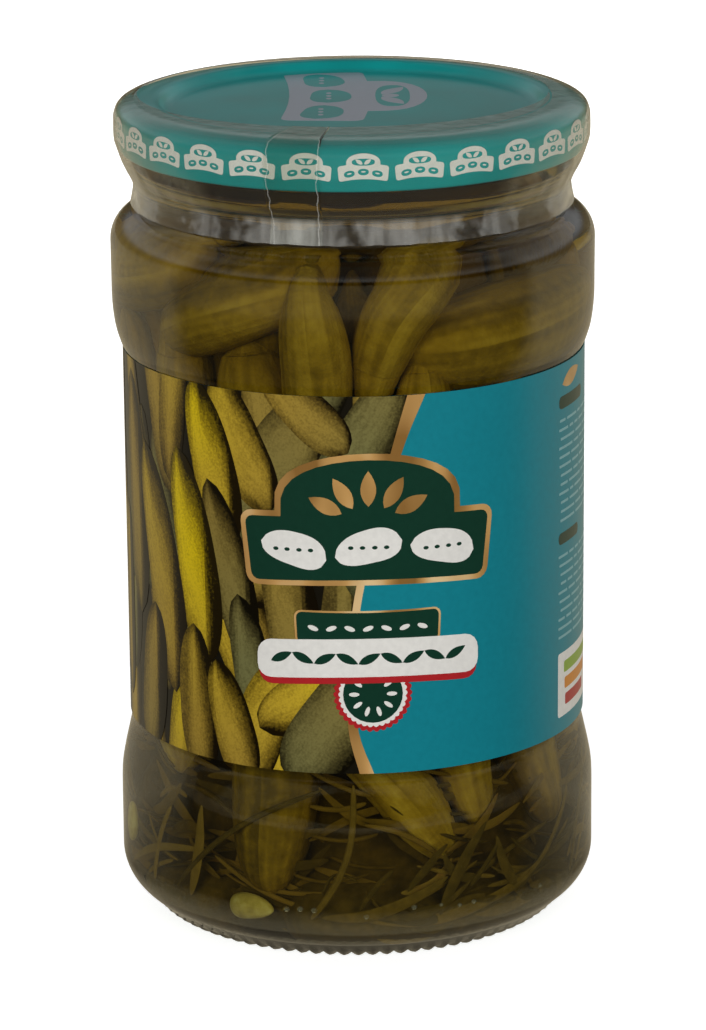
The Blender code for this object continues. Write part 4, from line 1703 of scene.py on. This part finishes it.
            place = (seal[0] + 3.4 * math.cos(spoke), seal[1] + 3.4 * math.sin(spoke))
            slices.append(oval(place, 1.9, 0.8, turned, 2, 12))
        field_left = [(across + 0.6, up) for across, up in left]
        layers = (
            ("teal_field", [[(118, self.bottom), (118, self.top), *field_left]], 0, "teal"),
            ("gold_edge", [[*right, *left]], 1, "gold"),
            ("plaque_gold", [plate(main, 46.4, 13.8, 2.2, 0.06, -0.8, 33, 10.6)], 2, "gold"),
            ("plaque_green", [plate(main, 44.4, 11.8, 1.5, 0.06, -0.8, 30.8, 10.4)], 3, "dark_green"),
            ("crest_leaves", rays, 4, "gold"),
            ("plaque_gherkins", gherkins, 4, "white"),
            ("gherkin_seeds", seeds, 5, "dark_green"),
            ("small_plaque_gold", [plate(small, 26.6, 6.6, 1.4, 0.02)], 2, "gold"),
            ("small_plaque_green", [plate(small, 25.8, 5.9, 1.1, 0.02)], 3, "dark_green"),
            ("small_plaque_beads", beads, 4, "white"),
            ("seal_red", [scalloped(seal, 6.7, 0.45, 34)], 2, "red"),
            ("seal_white", [scalloped(seal, 5.9, 0.35, 34)], 3, "white"),
            ("seal_green", [oval(seal, 10.8, 10.8)], 4, "dark_green"),
            ("seal_seeds", slices, 5, "white"),
            ("banner_red", [plate((banner[0], banner[1] - 1.1), 40.6, 7.4, 2.6, 0.0, -0.9)], 6, "red"),
            ("banner_white", [plate(banner, 41.2, 7.2, 2.6, 0.0, -0.9)], 7, "white"),
            ("banner_leaves", sprays, 8, "dark_green"),
        )
        return [self.print_layer(name, outlines, level, inks[ink]) for name, outlines, level, ink in layers]

    def build_side(self, inks: dict[str, bpy.types.Material]) -> list[bpy.types.Object]:
        """Builds the side panels, with rows of thin bars and a box of coloured bars, and the lap's edge.

        Args:
            inks: the finishes by name.

        Returns:
            The dressed layers.
        """
        draw = random.Random(7)
        heads: list[Outline] = []
        lines: list[Outline] = []
        for left, first in ((45.0, 97), (76.0, 101)):
            heads += [plate((left + 6, 100.4), 12, 2.4, 1.0), plate((left + 5, 74.6), 10, 2.2, 1.0)]
            for row in range(25):
                up = first - 1.72 * row
                if abs(up - 74.6) < 2.2 or abs(up - 100.4) < 2.0:
                    continue
                start = left + draw.uniform(0, 1)
                while start < left + 25:
                    long = draw.uniform(1.6, 7)
                    lines.append(plate((start + long / 2, up), long, 0.5, 0.2))
                    start += long + 0.7
        layers = (
            ("side_heads", heads, 1, "dark_green"),
            ("side_lines", lines, 1, "pale_teal"),
            ("side_mark", [leaf((50.5, 104.6), 8.5, 3.0, 12)], 1, "gold"),
            ("side_box", [plate((56, 46.4), 22, 12.4, 0.6)], 1, "white"),
            ("side_colour_bar_lime", [plate((55.5, 49.6), 16, 2.2, 0.4)], 2, "lime"),
            ("side_colour_bar_orange", [plate((54.7, 46.4), 13.8, 2.2, 0.4)], 2, "orange"),
            ("side_colour_bar_red", [plate((53.9, 43.2), 11.6, 2.2, 0.4)], 2, "red"),
            ("lap_edge", [plate((118, self.middle), 9, self.top - self.bottom, 0.3)], 1, "deep_teal"),
        )
        return [self.print_layer(name, outlines, level, inks[ink]) for name, outlines, level, ink in layers]


@dataclass
class Studio:
    """The white sheet, the soft lights and the camera at the photograph's place."""

    distance: float = 0.85517
    height: float = 0.32022
    pitch: float = 16.062
    roll: float = -0.469
    focal_pixels: float = 4751.2
    frame_pixels: tuple[int, int] = (706, 1030)
    centre_pixels: Point = (354.92, 513.33)
    lamp_size: Point = (0.6, 0.7)

    def build(self, paper: bpy.types.Material) -> None:
        """Sets up the floor, the lights, the surroundings and the camera.

        Args:
            paper: the floor's finish.
        """
        deselect()
        bpy.ops.mesh.primitive_plane_add(size=6.0)
        floor = rename(bpy.context.object, "studio_floor")
        bpy.ops.object.mode_set(mode="EDIT")
        bpy.ops.mesh.subdivide(number_cuts=6)
        bpy.ops.object.mode_set(mode="OBJECT")
        floor.data.materials.append(paper)
        self.add_lamp("front_left_box", (-0.62, -0.90, 0.30), 6.8)
        self.add_lamp("front_right_box", (0.66, -0.86, 0.30), 6.4)
        self.add_lamp("back_left_box", (-0.38, 1.02, 0.24), 4.2)
        self.add_lamp("back_right_box", (0.38, 1.02, 0.24), 4.2)
        self.set_air()
        bpy.context.scene.view_settings.view_transform = "Standard"
        self.add_camera()

    def set_air(self) -> None:
        """Sets the surroundings: white as seen, and mostly dim as the jar reflects them."""
        world = bpy.data.worlds.new("studio_air")
        world.use_nodes = True
        tree = world.node_tree
        way = add_node(tree, "TexCoord")
        split = add_node(tree, "SeparateXYZ", {0: way.outputs["Generated"]})
        aside = add_node(tree, "Math", {0: split.outputs[0]}, operation="ABSOLUTE")
        aside = add_node(tree, "MapRange", {0: aside, 1: 0.12, 2: 0.45, 3: 0.04, 4: 0.24})
        behind = add_node(tree, "MapRange", {0: split.outputs[1], 1: -0.12, 2: 0.1, 3: 0.0, 4: 1.0})
        sides = add_node(tree, "Math", {0: aside, 1: behind}, operation="MULTIPLY")
        above = add_node(tree, "MapRange", {0: split.outputs[2], 1: 0.15, 2: 0.27, 3: 0.03, 4: 0.28})
        level = add_node(tree, "Math", {0: sides, 1: above}, operation="ADD")
        overhead = add_node(tree, "MapRange", {0: split.outputs[2], 1: 0.35, 2: 0.6, 3: 0.0, 4: 0.23})
        level = add_node(tree, "Math", {0: level, 1: overhead}, operation="SUBTRACT")
        path = add_node(tree, "LightPath")
        shown = add_node(tree, "Mix", {0: path.outputs["Is Camera Ray"], 2: level, 3: 1.0})
        cool = add_node(tree, "MapRange", {0: split.outputs[2], 1: 0.1, 2: 0.22})
        cool = add_node(tree, "Math", {0: cool, 1: path.outputs["Is Camera Ray"]}, operation="MAXIMUM")
        inputs = {0: cool, 6: linear("ffe4ae"), 7: linear("ffffff")}
        colour = add_node(tree, "Mix", inputs, data_type="RGBA")
        feed(tree.nodes["Background"], {"Strength": shown, "Color": colour.outputs[2]})
        bpy.context.scene.world = world

    def add_lamp(self, name: str, place: tuple[float, float, float], power: float) -> None:
        """Adds a soft box that faces the jar's middle and isn't seen in reflections.

        Args:
            name: its name.
            place: where it stands, in metres.
            power: its power in watts.
        """
        lamp = bpy.data.lights.new(name, "AREA")
        lamp.shape = "RECTANGLE"
        lamp.size, lamp.size_y = self.lamp_size
        lamp.energy = power
        stand = bpy.data.objects.new(name, lamp)
        bpy.context.collection.objects.link(stand)
        stand.location = place
        stand.rotation_euler = (Vector((0, 0, 0.08)) - Vector(place)).to_track_quat("-Z", "Y").to_euler()
        stand.visible_glossy = False
        stand.visible_transmission = False

    def add_camera(self) -> None:
        """Adds the camera, fitted to the photograph's outline of the jar."""
        lens = bpy.data.cameras.new("camera")
        lens.sensor_width = 36.0
        lens.lens = 36.0 * self.focal_pixels / self.frame_pixels[1]
        lens.shift_x = (self.frame_pixels[0] / 2 - self.centre_pixels[0]) / self.frame_pixels[1]
        lens.shift_y = (self.centre_pixels[1] - self.frame_pixels[1] / 2) / self.frame_pixels[1]
        lens.clip_start = 0.01
        camera = bpy.data.objects.new("camera", lens)
        bpy.context.collection.objects.link(camera)
        pitch, roll = math.radians(self.pitch), math.radians(self.roll)
        forward = Vector((0, math.cos(pitch), -math.sin(pitch)))
        right = Vector((1, 0, 0))
        up = right.cross(forward)
        side = math.cos(roll) * right + math.sin(roll) * up
        head = -math.sin(roll) * right + math.cos(roll) * up
        stance = Matrix((side, head, -forward)).transposed().to_4x4()
        stance.translation = Vector((0, -self.distance, self.height))
        camera.matrix_world = stance
        bpy.context.scene.camera = camera


def report(pieces: Sequence[bpy.types.Object]) -> None:
    """Logs each piece with its number of faces."""
    for piece in pieces:
        log.info("%s: %d faces", piece.name, len(piece.data.polygons))


def main() -> None:
    """Builds the jar from its filling outwards, then the studio."""
    logging.basicConfig(level=logging.INFO, format="%(message)s")
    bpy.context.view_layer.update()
    skin = CucumberSkin().build()
    herb = SoakedHerb().build()
    lacquer = LacqueredTinplate().build()
    film = ShrinkFilm().build()
    lapped = ShrinkFilm("lapped_film", 1.12, 0.0, edges=0.13).build()
    inks = {ink.name.lower(): PrintedInk(ink.name.lower() + "_ink", ink.value).build() for ink in Ink}
    inks["gold"] = GoldInk().build()
    jar = GlassJar()
    report([jar.build(SodaLimeGlass().build())])
    filling = PickleFilling(jar)
    # The core's skin is a darker copy of the cucumbers' skin: painted shade deep between them.
    shaded = CucumberSkin("packed_skin_painted_shade", stops=((0.3, "664c14"), (0.6, "8a681e")), tip="73561a").build()
    report([filling.build(skin), filling.build_core(shaded)])
    herbs = HerbFilling(jar)
    report([herbs.build(herb), herbs.build_tangle(herb), herbs.build_mat(herb)])
    report(GarlicCloves(jar).build(GarlicFlesh().build()))
    brine = BrineFill(jar)
    report([brine.build(PickleBrine().build()), brine.build_bubbles(TrappedAir().build())])
    lid = TwistOffLid()
    report([lid.build(lacquer), *lid.build_badges(inks["white"], lacquer)])
    pale = PrintedInk("lilac_ink", "a9b0bc", 0.3).build()
    report(lid.build_medallion(pale, lacquer))
    report(ShrinkBand().build(film, lapped))
    label = WrapLabel()
    report([label.build_base(inks["teal"]), label.build_ground(inks["ground"])])
    report([label.build_picture(PrintedCucumber().build())])
    report([*label.build_front(inks), *label.build_side(inks)])
    Studio().build(StudioPaper().build())
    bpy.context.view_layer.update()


if __name__ == "__main__":
    main()
